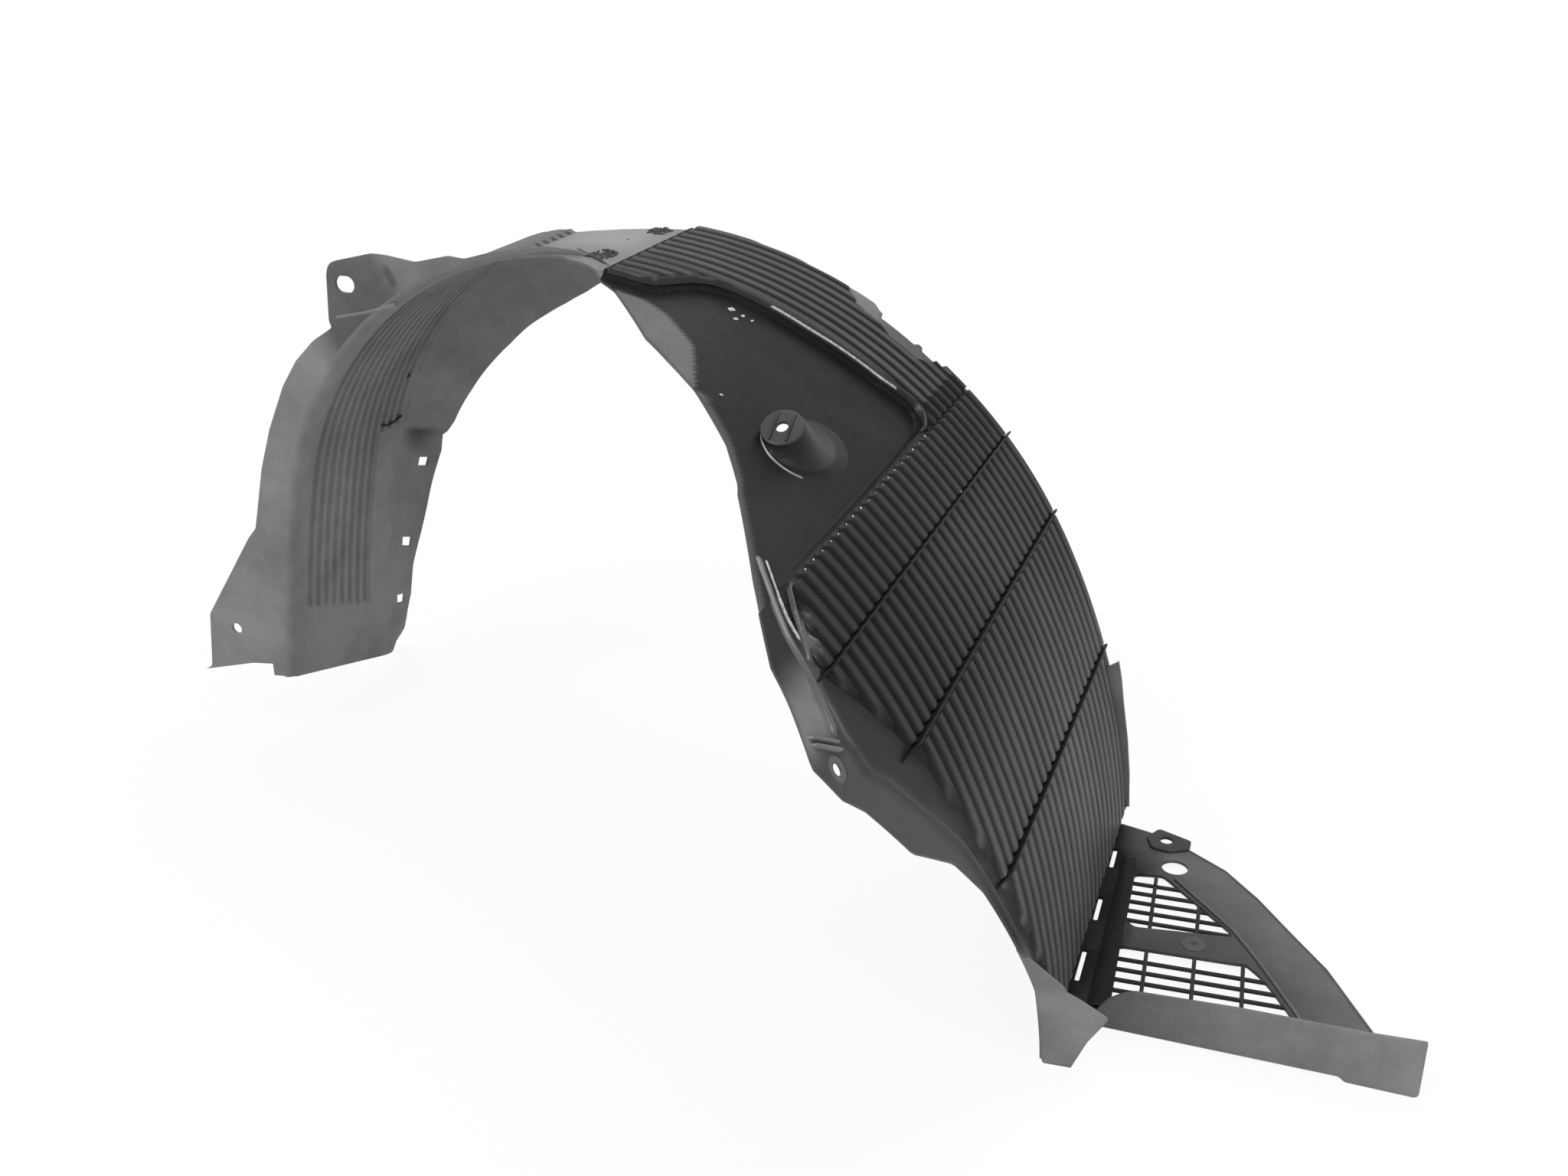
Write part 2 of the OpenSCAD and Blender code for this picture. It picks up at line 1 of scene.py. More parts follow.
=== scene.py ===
import math
import bmesh
import bpy
import numpy as np
from bpy.props import FloatProperty, FloatVectorProperty, IntProperty, PointerProperty
from bpy.types import Operator, Panel, PropertyGroup
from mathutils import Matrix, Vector


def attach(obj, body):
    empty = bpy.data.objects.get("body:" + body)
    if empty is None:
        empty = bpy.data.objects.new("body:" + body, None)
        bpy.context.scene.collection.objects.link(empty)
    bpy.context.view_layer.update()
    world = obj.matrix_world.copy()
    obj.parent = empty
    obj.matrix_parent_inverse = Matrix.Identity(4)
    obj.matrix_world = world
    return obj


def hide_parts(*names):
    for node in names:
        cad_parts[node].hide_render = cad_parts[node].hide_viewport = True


bl_info = {
    "name": "Wheel arch liner",
    "version": (1, 0, 0),
    "blender": (4, 5, 0),
    "location": "View3D > Sidebar > Liner",
    "description": "Builds a moulded plastic wheel arch liner with ribs, fins, flanges and a grille panel",
    "category": "Add Mesh",
}

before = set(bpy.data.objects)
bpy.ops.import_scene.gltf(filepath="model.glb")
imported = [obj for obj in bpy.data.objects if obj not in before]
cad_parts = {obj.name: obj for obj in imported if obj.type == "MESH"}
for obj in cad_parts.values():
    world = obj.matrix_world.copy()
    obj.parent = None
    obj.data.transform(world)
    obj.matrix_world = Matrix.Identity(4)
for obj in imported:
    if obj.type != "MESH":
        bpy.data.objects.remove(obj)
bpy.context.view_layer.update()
NODE = "liner"
MM = 0.001


def metres(name, description, default):
    """A length that the panel can change."""
    return FloatProperty(name=name, description=description, default=default, unit="LENGTH")


def tint(name, description, default):
    """A colour that the panel can change."""
    return FloatVectorProperty(
        name=name, description=description, subtype="COLOR", size=3, min=0, max=1, default=default
    )


def factor(name, description, default):
    """A share from 0 to 1 that the panel can change."""
    return FloatProperty(name=name, description=description, subtype="FACTOR", min=0, max=1, default=default)


class LinerSizes(PropertyGroup):
    """Sizes of the moulding."""

    crown_height: metres("Crown height", "Height of the crown's outer face above the floor", 0.411)
    back_radius: metres("Back radius", "Outer radius of the arch behind the crown", 0.254)
    front_radius: metres("Front radius", "Outer radius of the arch ahead of the crown", 0.352)
    heel_radius: metres("Heel radius", "Outer radius of the heel leg", 1.157)
    toe_radius: metres("Toe radius", "Outer radius of the lower front leg", 0.53)
    wall: metres("Wall", "Thickness of the moulding", 0.0024)
    rib_pitch: metres("Rib spacing", "Spacing of the ribs ahead of the crown", 0.0133)
    rib_rise: metres("Rib height", "Height of a rib ahead of the crown", 0.0036)
    back_pitch: metres("Back rib spacing", "Spacing of the ribs behind the crown", 0.011)
    back_rise: metres("Back rib height", "Height of a rib behind the crown", 0.0026)
    wall_drop: metres("Wall drop", "Depth of the smooth wall below the ribbed tread", 0.004)
    bead_rise: metres("Bead height", "Height of the bead along the smooth wall", 0.004)
    fin_rise: metres("Fin height", "Height of a cross fin above the ribs", 0.0015)
    ring_points: IntProperty(
        name="Points round a hole", description="Points round each hole and boss", default=64, min=16, max=128
    )


class LinerFinish(PropertyGroup):
    """Colours and gloss of the moulding and the floor."""

    plastic: tint("Plastic", "Clean plastic", (0.0084, 0.009, 0.0102))
    # The grey of dust, which painted highlights also reach
    dust_and_painted_light: tint("Dust", "Plastic greyed by dust and handling", (0.230, 0.238, 0.241))
    stain: tint("Stain", "Faint warm stain in the dust", (0.225, 0.213, 0.19))
    # Pale colour of small spots, and of painted glints and highlight lines
    spot_and_glint: tint("Scuff", "Pale rubbed plastic", (0.55, 0.55, 0.55))
    floor: tint("Floor", "Floor and backdrop", (0.93, 0.93, 0.93))
    clean_gloss: factor("Clean roughness", "Roughness of clean plastic", 0.34)
    dusty_gloss: factor("Dusty roughness", "Roughness of dusty plastic", 0.62)


def ease(x):
    """Smooth step from 0 to 1."""
    x = np.clip(x, 0.0, 1.0)
    return x * x * (3 - 2 * x)


def bell(x, width):
    """1 at 0, falling off smoothly to either side."""
    return np.exp(-((x / width) ** 2))


def table(*pairs):
    """Function that reads a value off a line of points."""
    xs, ys = zip(*pairs)
    return lambda a: np.interp(a, xs, ys)


# Turns are in degrees from the crown, offsets and sides in millimetres.
# One arc meets the next at the turns in ARC_TURNS.
BACK_TURN, FRONT_TURN = -76.6, 60.0
ARC_TURNS = (BACK_TURN, 0.0, FRONT_TURN)
RIB_WIDEN, RIB_STOP, RIDGE, CORNER = -74.0, -9.0, 5.8, 43.0
FIN_TURNS = (50.0, 60.1, 71.3)
FLANGE_Y, STRIP_Y, FAR_SIDE, NEAR_SIDE = -8.0, -149.0, 165.0, -347.0
PANEL_Z, HEEL_NEAR_Z, CORNER_R, RIB_NARROW = 3.0, 54.0, 6.0, 99.5
# Radius at which a path's turns are measured, and where the ribs start and how they repeat
PATH_R = 352.0
RIB_Y, RIB_STEP = 2, 13.3
BACK_Y, BACK_STEP, BACK_CREST, BACK_FLANK = 12, 11, 4.2, 2.4
# How far the wall draws in round the clip holes, and the middles of the boss and the edge hole
CLIP_INSET = 8
BOSS_TURN, BOSS_Y = 36.1, -128
HOLE_TURN, HOLE_Y = 55.6, -331

WALL_PATH = [
    (5.8, -38), (8, -40), (10.2, -42), (11.6, -39), (12.6, -26), (14, -10), (15.6, -2), (17.5, 0), (21, 0),
    (26.9, -2), (31, 0), (36, 2), (38, 6), (39.6, 9), (40.8, 8), (41.8, 3), (42.5, -6), (42.8, -14),
    (42.9, -60), (43, -120), (43, -200), (43, -240), (43.1, -262),
]
RIB_PATH = [
    (42.6, -262), (44, -264), (46, -277), (49.1, -298), (54, -282), (59.1, -265), (64.5, -247), (69.9, -229),
    (75.5, -207), (81, -186), (90, -160),
]
CREASE_PATH = [
    (44, -268), (46, -276), (50.4, -304), (54, -311), (58, -309), (62, -285), (67, -252), (72, -232),
    (79, -203), (90, -180),
]

near_edge = table(
    (-9, -10), (-2, -14), (3, -30), (8.4, -57), (16.4, -114), (24.7, -152), (30.7, -186), (34.2, -214),
    (34.8, -222), (40.9, -276), (46.6, -320), (54, -346.4), (57.6, -339), (64.1, -303), (67.2, -266),
    (70.6, -243), (76.2, -218), (81, -195), (90, -189),
)
rib_near = table((43, -262), (46, -277), (49.1, -298), (59.1, -265), (69.9, -229), (81, -186), (90, -160))
grey_line = table((8, -57), (12.4, -61), (15.4, -71), (20.5, -99), (21.9, -116), (24.7, -152))
bead_line = table(*WALL_PATH[:17], (43, -262), (44, -262))
crease_line = table(*CREASE_PATH)
far_line = table(
    (-90, 105), (-86, 112), (-84, 122), (-82, 137), (-80, 140), (-37, 140), (-25, 112), (-15, 86), (-9, 71),
    (-4.5, 72), (0, 80), (5.8, 100), (12, 108), (17, 108),
)
wall_fall = table(
    (-91, -24), (-88.2, -24), (-87.2, -19), (-86.4, -11), (-85.6, -5), (-84.4, 0), (-83, 2), (-81.3, 9),
    (-79.3, 16), (-77.4, 23), (-76.6, 24), (-75.7, 27), (-73, 31), (-69, 34), (-64, 38), (-59, 41), (-54, 44),
    (-48, 47), (-42, 48), (-36, 50), (-30, 51), (-24, 50), (-18, 46), (-12, 40), (-6, 35), (0, 30), (6, 24),
    (12, 16), (17, 9),
)
wall_short = table(
    (-88.2, 0), (-87.2, 1), (-86.4, 1), (-85.6, 0), (-77.4, 0), (-76.6, 3), (-75.7, 1), (-73, 0), (-24, 0),
    (-18, 2), (-12, 5), (-6, 8), (0, 14), (6, 24), (12, 38), (17, 49),
)
rib_far = table((24.4, 130), (25, 107), (28.3, 79), (35.3, 67), (38.3, 74), (39.6, 120))
notch = table((30.6, 0), (30.9, 9), (35.6, 9), (35.9, 3), (36.5, 3), (36.8, 9), (39.6, 9), (39.9, 0))


def along(knots, count):
    """Evenly counted points on the straight stretches between knots."""
    k = np.linspace(0, len(knots) - 1, count)
    return np.stack([np.interp(k, range(len(knots)), [q[i] for q in knots]) for i in (0, 1)], -1)


def path_distance(turn, side, path):
    """Shortest distance from points on the arch to a path of turns and sides."""
    x, y = np.radians(turn) * PATH_R, side
    best = np.full(np.shape(x), 1e9)
    pts = [(math.radians(t) * PATH_R, s) for t, s in path]
    for (x0, y0), (x1, y1) in zip(pts, pts[1:]):
        dx, dy = x1 - x0, y1 - y0
        s = np.clip(((x - x0) * dx + (y - y0) * dy) / (dx * dx + dy * dy), 0, 1)
        best = np.minimum(best, np.hypot(x - x0 - s * dx, y - y0 - s * dy))
    return best


def wall_side(turn, side):
    """Distance from the smooth wall's boundary: below 0 on the wall, above 0 on the ribs."""
    best = path_distance(turn, side, WALL_PATH)
    inside = (side < bead_line(turn)) & (turn <= CORNER)
    return np.where(inside, -best, best)


class Arch:
    """The liner's bent surface: four arcs in X and Z, each tangent to the next, carried along Y."""

    def __init__(self, sizes):
        self.crown = sizes.crown_height / MM
        heel, back, front, toe = sizes.heel_radius, sizes.back_radius, sizes.front_radius, sizes.toe_radius
        self.radii = [r / MM for r in (heel, back, front, toe)]
        heel, back, front, toe = self.radii
        back_c = np.array([0, self.crown - back])
        front_c = np.array([0, self.crown - front])
        b, f = math.radians(BACK_TURN), math.radians(FRONT_TURN)
        heel_c = back_c + (back - heel) * np.array([math.sin(b), math.cos(b)])
        toe_c = front_c + (front - toe) * np.array([math.sin(f), math.cos(f)])
        self.centres = np.array([heel_c, back_c, front_c, toe_c])
        self.toe_end = math.degrees(math.acos((PANEL_Z - toe_c[1]) / toe))
        self.fold_x = self.xz(self.toe_end, 0)[0]
        self.grille_x = self.fold_x + 210
        self.mid = np.array([(self.xz(-85.4, 80.5)[0] + self.grille_x) / 2, (NEAR_SIDE + FAR_SIDE) / 2, 0])

    def xz(self, turn, off):
        turn = np.asarray(turn, float)
        k = np.digitize(turn, ARC_TURNS)
        r = np.array(self.radii)[k] + off
        c = self.centres[k]
        a = np.radians(turn)
        return np.stack([c[..., 0] + r * np.sin(a), c[..., 1] + r * np.cos(a)], -1)

    def xyz(self, turn, off, y):
        turn, off, y = np.broadcast_arrays(np.asarray(turn, float), off, y)
        p = self.xz(turn, off)
        return np.stack([p[..., 0], y, p[..., 1]], -1)

    def normal(self, turn):
        a = np.radians(turn)
        return np.stack([np.sin(a), 0 * a, np.cos(a)], -1)

    def outline(self, pairs):
        """Points in X and Z from turns and offsets."""
        return [tuple(self.xz(turn, off)) for turn, off in pairs]

    def far_y(self, turn):
        """Far edge ahead of the crown, from Y 110 at the crown to Y 85 at the fold."""
        return 110 + (85 - 110) * self.xz(turn, 0)[..., 0] / self.fold_x

    def stations(self, start, end, step, fine=()):
        """Turns from start to end about step millimetres apart, with closer ones round each turn in fine."""
        marks = [start] + [a for a in ARC_TURNS if start < a < end] + [end]
        out = [start]
        for a, b in zip(marks, marks[1:]):
            r = self.radii[np.digitize((a + b) / 2, ARC_TURNS)]
            n = max(1, round(math.radians(b - a) * r / step))
            out += list(np.linspace(a, b, n + 1)[1:])
        for a, reach, n in fine:
            out += [t for t in np.linspace(a - reach, a + reach, 2 * n + 1) if start < t < end]
        return np.unique(np.round(out, 4))


def rib_shape(y, start, pitch, rise, crest=4.6, flank=2.6):
    """Height of the ribs at y, for ribs that begin at start and repeat."""
    r = np.mod(y - start, pitch)
    return rise * ease(np.minimum(r, 2 * flank + crest - r) / flank)


def rib_sides(start, end, pitch, crest=4.6, flank=2.6):
    """Sides at which a ribbed stretch is sampled."""
    rise = [0, 0.7, 1.3, 1.9]
    steps = np.array(
        rise + [flank, flank + crest / 2] + [flank + crest + s for s in rise]
        + [2 * flank + crest, 2 * flank + crest + (pitch - 2 * flank - crest) / 2]
    )
    n = int(math.ceil((end - start) / pitch))
    out = np.concatenate([start + i * pitch + steps for i in range(n)])
    return out[out <= end + 0.01]


# Materials


def feed(tree, node, inputs):
    """Links or sets each input of a node. A value is a node output or a plain value."""
    for key, value in inputs.items():
        if hasattr(value, "node"):
            tree.links.new(value, node.inputs[key])
        else:
            node.inputs[key].default_value = value


def add_node(tree, kind, inputs=None, **settings):
    """New shader node with its settings and inputs filled in."""
    node = tree.nodes.new("ShaderNode" + kind)
    for key, value in settings.items():
        setattr(node, key, value)
    feed(tree, node, inputs or {})
    return node


def new_material(name):
    """Material with its node tree, its shader and the object's own coordinates."""
    mat = bpy.data.materials.new(name)
    mat.use_nodes = True
    tree = mat.node_tree
    return mat, tree, tree.nodes["Principled BSDF"], add_node(tree, "TexCoord").outputs["Object"]


def mixed(tree, kind, fac, a, b):
    """Mix node between two colours or two values."""
    pick = {"FLOAT": (0, 2, 3, 0), "RGBA": (0, 6, 7, 2)}[kind]
    return add_node(tree, "Mix", dict(zip(pick, (fac, a, b))), data_type=kind).outputs[pick[3]]


def noise(tree, where, scale, detail=3.0, rough=0.5):
    """Value of a noise texture."""
    inputs = {"Scale": scale, "Detail": detail, "Roughness": rough, "Vector": where}
    return add_node(tree, "TexNoise", inputs).outputs["Fac"]


def ramp(tree, value, low, high, to_low=0.0, to_high=1.0):
    """Value eased from one range to another."""
    inputs = {"Value": value, "From Min": low, "From Max": high, "To Min": to_low, "To Max": to_high}
    return add_node(tree, "MapRange", inputs, interpolation_type="SMOOTHSTEP").outputs["Result"]


def maths(tree, how, a, b):
    """Sum, product or the like of two values."""
    return add_node(tree, "Math", {0: a, 1: b}, operation=how).outputs[0]


def watched(tree):
    """1 where the background is seen, directly or in a reflection, and 0 where it only lights the part."""
    path = add_node(tree, "LightPath")
    seen = maths(tree, "MAXIMUM", path.outputs["Is Camera Ray"], path.outputs["Is Glossy Ray"])
    return maths(tree, "MAXIMUM", seen, path.outputs["Is Transmission Ray"])


def plastic_material(finish):
    """Injection-moulded plastic: clean and glossy where new, greyed and dull where dust has settled. The same
    amount also carries painted highlights, which grey it, and painted shade, which darkens it.
    """
    name = "moulded_liner_plastic"
    if name in bpy.data.materials:
        return bpy.data.materials[name]
    mat, tree, shader, where = new_material(name)
    # The dust attribute holds dust together with painted highlights and painted shade
    dust_and_painted_light, shine = (add_node(tree, "Attribute", attribute_name=a).outputs["Fac"] for a in ("dust_and_painted_light", "shine"))
    cloud = noise(tree, where, 9.0, 5.0, 0.6)
    patch = noise(tree, where, 38.0, 4.0, 0.65)
    speck = noise(tree, where, 420.0, 2.0, 0.6)
    # Dust, and the painted light carried with it, lies in clouds and patches
    amount = maths(tree, "MULTIPLY", dust_and_painted_light, ramp(tree, cloud, 0.3, 0.7, 0.8, 1.14))
    amount = maths(tree, "MULTIPLY", amount, ramp(tree, patch, 0.3, 0.72, 0.9, 1.08))
    amount = maths(tree, "MULTIPLY", amount, ramp(tree, speck, 0.3, 0.7, 0.96, 1.04))
    stain = ramp(tree, noise(tree, where, 6.0, 3.0, 0.5), 0.52, 0.72, 0.0, 0.55)
    grey = mixed(tree, "RGBA", stain, (*finish.dust_and_painted_light, 1), (*finish.stain, 1))
    colour = mixed(tree, "RGBA", amount, (*finish.plastic, 1), grey)
    # Fine pale scratches where the part has been handled
    inputs = {"Scale": (1.0, 9.0, 1.3), "Rotation": (0.3, 0.5, 0.7), "Vector": where}
    stretch = add_node(tree, "Mapping", inputs).outputs["Vector"]
    scratch = ramp(tree, noise(tree, stretch, 150.0, 2.0, 0.6), 0.7, 0.8, 0.0, 0.4)
    scratch = maths(tree, "MULTIPLY", scratch, ramp(tree, patch, 0.5, 0.7))
    colour = mixed(tree, "RGBA", scratch, colour, (*finish.dust_and_painted_light, 1))
    # Roughness follows the dust and the painted light alike, with rubbed glossy places
    rough = mixed(tree, "FLOAT", amount, finish.clean_gloss, finish.dusty_gloss)
    rough = maths(tree, "ADD", rough, ramp(tree, patch, 0.3, 0.7, -0.05, 0.06))
    rough = mixed(tree, "FLOAT", shine, rough, 0.16)
    # Moulded grain, over a slow unevenness of the thin wall
    uneven, grain = noise(tree, where, 26.0, 2.0, 0.5), noise(tree, where, 1100.0, 2.0, 0.55)
    wave = add_node(tree, "Bump", {"Strength": 0.3, "Distance": 0.0012, "Height": uneven}).outputs[0]
    fine = {"Strength": 0.35, "Distance": 0.00012, "Height": grain, "Normal": wave}
    feed(tree, shader, {
        "Base Color": colour,
        "Roughness": rough,
        "Specular IOR Level": mixed(tree, "FLOAT", shine, 0.05, 0.9),
        "Normal": add_node(tree, "Bump", fine).outputs[0],
    })
    return mat


def spot_and_glint_material(finish):
    """Pale plastic of small pale spots, and of painted glints and highlight lines."""
    name = "pale_spots_and_painted_glints"
    if name in bpy.data.materials:
        return bpy.data.materials[name]
    mat, tree, shader, where = new_material(name)
    tone = ramp(tree, noise(tree, where, 500.0, 3.0, 0.6), 0.35, 0.65, 0.25, 1.0)
    dark = (*(c * 0.35 for c in finish.spot_and_glint), 1)
    colour = mixed(tree, "RGBA", tone, dark, (*finish.spot_and_glint, 1))
    feed(tree, shader, {"Base Color": colour, "Roughness": 0.5})
    return mat


# Meshes


def dress(mesh, name, material, sharp=35.0):
    """Object from a finished mesh, riding on the liner's body and standing for its solid."""
    obj = bpy.data.objects.new(name, mesh)
    bpy.context.scene.collection.objects.link(obj)
    mesh.shade_smooth()
    mesh.set_sharp_from_angle(angle=math.radians(sharp))
    mesh.materials.append(material)
    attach(obj, "root")
    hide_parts(NODE)
    return obj


def mark(mesh, name, values):
    """Stores one number for each point, for the material to read."""
    layer = mesh.attributes.new(name, "FLOAT", "POINT")
    layer.data.foreach_set("value", np.ascontiguousarray(values, np.float32))


def thicken(obj, depth, offset):
    """Gives a sheet its thickness, in millimetres."""
    shell = obj.modifiers.new("thickness", "SOLIDIFY")
    shell.thickness = depth * MM
    shell.offset = offset


def grid_faces(rows, columns, ring=False, flip=False):
    """Quads between points laid out in rows. A ring joins each row's last point to its first."""
    faces = []
    for i in range(rows - 1):
        for j in range(columns if ring else columns - 1):
            a, b = i * columns + j, i * columns + (j + 1) % columns
            c, d = b + columns, a + columns
            faces.append([a, b, c, d] if flip else [a, d, c, b])
    return faces


class Maker:
    """What every piece needs: the sizes, the arch and the materials."""

    def __init__(self, context):
        self.sizes = context.scene.liner_sizes
        self.finish = context.scene.liner_finish
        self.arch = Arch(self.sizes)
        self.wall = self.sizes.wall / MM
        self.plastic = plastic_material(self.finish)

    def place(self, points):
        return (np.asarray(points, float) - self.arch.mid) * MM

    def mesh(self, name, points, faces, dust_and_painted_light, shine=0.0, material=None, sharp=35.0):
        mesh = bpy.data.meshes.new(name)
        mesh.from_pydata(self.place(points).tolist(), [], faces)
        mesh.update()
        n = len(points)
        mark(mesh, "dust_and_painted_light", np.broadcast_to(dust_and_painted_light, n))
        mark(mesh, "shine", np.broadcast_to(shine, n))
        return dress(mesh, name, material or self.plastic, sharp)

    def band_level(self, turn):
        """Height of the smooth near band, which rises from the crown's corner towards the ribs' base."""
        drop = self.sizes.wall_drop / MM
        return -drop + (drop - 0.8) * ease((turn - CORNER) / 7)

    def skin(self, name, turns, sides, near, far, relief, dust_and_painted_light, shine, start=None, holes=(), slots=()):
        """Closed sheet on the arch between its near and far edges.

        relief, dust_and_painted_light and shine are functions of turn and side, and start bends the rows. A
        hole's rim is drawn round its middle. A slot drops the cells within its half sizes.
        """
        turn, side = np.meshgrid(turns, sides, indexing="ij")
        side = np.clip(side, near(turns)[:, None], far(turns)[:, None])
        if start is not None:
            turn = start(turn, side)
        low, high = slice(None, -1), slice(1, None)
        corners = ((low, low), (high, low), (high, high), (low, high))
        gone = np.zeros((len(turns) - 1, len(sides) - 1), bool)
        for t0, y0, half_turn, half_side in holes:
            rho = np.hypot((turn - t0) / half_turn, (side - y0) / half_side)
            inside = rho < 1
            whole = np.all([inside[c] for c in corners], axis=0)
            gone |= whole
            kept = np.zeros_like(inside)
            for c in corners:
                kept[c] |= ~whole
            snap = inside & kept & (rho > 1e-6)
            turn = np.where(snap, t0 + (turn - t0) / np.maximum(rho, 1e-6), turn)
            side = np.where(snap, y0 + (side - y0) / np.maximum(rho, 1e-6), side)
        mid_t = (turn[low, low] + turn[high, high]) / 2
        mid_y = (side[low, low] + side[high, high]) / 2
        for t0, y0, half_turn, half_side in slots:
            gone |= (abs(mid_t - t0) < half_turn) & (abs(mid_y - y0) < half_side)
        # Points that fall together become one, and cells that shrink to a line are dropped
        keys = np.stack([np.round(turn * 1e4), np.round(side * 1e3)], -1).reshape(-1, 2).astype(np.int64)
        _, first, ids = np.unique(keys, axis=0, return_index=True, return_inverse=True)
        ids = ids.reshape(turn.shape)
        t, y = turn.reshape(-1)[first], side.reshape(-1)[first]
        faces = []
        for cell in np.stack([ids[c] for c in corners], -1)[~gone].tolist():
            ring = [v for v, after in zip(cell, cell[1:] + cell[:1]) if v != after]
            if len(ring) > 2 and len(set(ring)) == len(ring):
                faces.append(ring)
        n = len(t)
        used = dict.fromkeys(pair for ring in faces for pair in zip(ring, ring[1:] + ring[:1]))
        rim = [[b, a, a + n, b + n] for a, b in used if (b, a) not in used]
        closed = faces + [[v + n for v in reversed(ring)] for ring in faces] + rim
        off = relief(t, y)
        points = np.concatenate([self.arch.xyz(t, off, y), self.arch.xyz(t, off - self.wall, y)])
        dust_and_light_values = np.concatenate([dust_and_painted_light(t, y, 1), dust_and_painted_light(t, y, -1)])
        return self.mesh(name, points, closed, dust_and_light_values, np.concatenate([shine(t, y), shine(t, y) * 0.3]))

    def slab(self, name, loops, lift, along, dust_and_painted_light, shine=0.0, soften=0.5, sharp=30.0):
        """Flat plate with holes.

        loops are outlines in the plate's own plane, lift maps them into space and along is its thickness.
        """
        bm = bmesh.new()
        for loop in loops:
            verts = [bm.verts.new(lift(a, b)) for a, b in loop]
            for i in range(len(verts)):
                bm.edges.new((verts[i - 1], verts[i]))
        bmesh.ops.triangle_fill(bm, use_beauty=True, use_dissolve=False, edges=bm.edges[:])
        grown = bmesh.ops.extrude_face_region(bm, geom=bm.faces[:])
        for v in grown["geom"]:
            if isinstance(v, bmesh.types.BMVert):
                v.co += Vector(along)
        bmesh.ops.recalc_face_normals(bm, faces=bm.faces[:])
        bmesh.ops.dissolve_limit(bm, angle_limit=0.002, verts=bm.verts[:], edges=bm.edges[:])
        if soften:
            hard = [e for e in bm.edges if len(e.link_faces) == 2 and e.calc_face_angle(0) > 0.7]
            bmesh.ops.bevel(
                bm, geom=hard, offset=soften, segments=2, profile=0.6, affect="EDGES", clamp_overlap=True
            )
        bmesh.ops.triangulate(bm, faces=[f for f in bm.faces if len(f.verts) > 4])
        bm.verts.index_update()
        points = [tuple(v.co) for v in bm.verts]
        faces = [[v.index for v in f.verts] for f in bm.faces]
        bm.free()
        value = dust_and_painted_light(np.array(points)) if callable(dust_and_painted_light) else dust_and_painted_light
        return self.mesh(name, points, faces, value, shine, sharp=sharp)

    def ridge(self, name, path, width, height, base=0.0, dust_and_painted_light=0.1, shine=0.0, material=None):
        """Rounded ridge that follows a path of turns and sides on the arch and fades at both ends."""
        path = np.array(path, float)
        flat = np.stack([np.radians(path[:, 0]) * PATH_R, path[:, 1]], -1)
        step = np.gradient(flat, axis=0)
        step /= np.linalg.norm(step, axis=1)[:, None]
        aside = np.stack([-step[:, 1], step[:, 0]], -1)
        run = np.concatenate([[0], np.cumsum(np.linalg.norm(np.diff(flat, axis=0), axis=1))])
        fade = ease(np.minimum(run, run[-1] - run) / width + 0.08)[:, None]
        v = np.linspace(-1, 1, 11)
        at = flat[:, None] + aside[:, None] * (v * width / 2 * np.sqrt(fade))[..., None]
        turn, side = np.degrees(at[..., 0] / PATH_R), at[..., 1]
        ground = base(turn) if callable(base) else base
        sunk = 0.6
        off = ground - sunk + (height + sunk) * np.cos(v * math.pi / 2) ** 0.8 * fade
        points = self.arch.xyz(turn, off, side).reshape(-1, 3)
        return self.mesh(name, points, grid_faces(len(path), len(v)), dust_and_painted_light, shine, material, sharp=60)


def oblong(x0, x1, y0, y1):
    """Outline with four square corners."""
    return [(x0, y0), (x1, y0), (x1, y1), (x0, y1)]


def circle(x, y, r, n):
    """Outline of n points round a middle."""
    return [(x + r * math.cos(2 * math.pi * k / n), y + r * math.sin(2 * math.pi * k / n)) for k in range(n)]


def eased(points, reach):
    """Outline with each corner rounded over a short reach."""
    out = []
    n = len(points)
    for i in range(n):
        p, a, b = (np.array(points[k % n], float) for k in (i, i - 1, i + 1))
        la, lb = np.linalg.norm(a - p), np.linalg.norm(b - p)
        pa = p + (a - p) * min(reach / la, 0.42)
        pb = p + (b - p) * min(reach / lb, 0.42)
        for s in (0, 0.33, 0.67, 1):
            out.append(tuple((1 - s) ** 2 * pa + 2 * s * (1 - s) * p + s * s * pb))
    return out


# Relief of each stretch


def rib_foot(y):
    """Turn at which a rear rib ends, just above the foot."""
    return -82.1 - 1.6 * (y - BACK_Y) / 83


def clip_zone(t):
    """1 along the wall that holds the clip holes, 0 elsewhere."""
    return ease((t + 88.6) / 3.0) * ease((-78.6 - t) / 2.0)


def rear_far(t):
    """Far edge of the rear arch, drawn in round the clip holes."""
    return FAR_SIDE - wall_short(t) - CLIP_INSET * clip_zone(t)


def back_relief(make):
    z = make.sizes

    def relief(t, y):
        ribs = rib_shape(y, BACK_Y, z.back_pitch / MM, z.back_rise / MM, flank=BACK_FLANK, crest=BACK_CREST)
        ribs = ribs * ((y > BACK_Y - 0.1) & (y < BACK_Y + 11 * BACK_STEP))
        ribs = ribs * ease((t - rib_foot(y)) / 0.3) * ease((RIB_STOP - 0.3 - t) / 0.9)
        ribs = ribs * np.where(y > RIB_NARROW, ease((t - RIB_WIDEN) / 1.0), 1.0)
        w = clip_zone(t)
        u = np.clip((y - far_line(t)) / (rear_far(t) - far_line(t)), 0, 1)
        return ribs * (1 - ease(u * 14)) - (wall_fall(t) + 5.5 * w) * u ** (1.45 + 1.6 * w)

    return relief


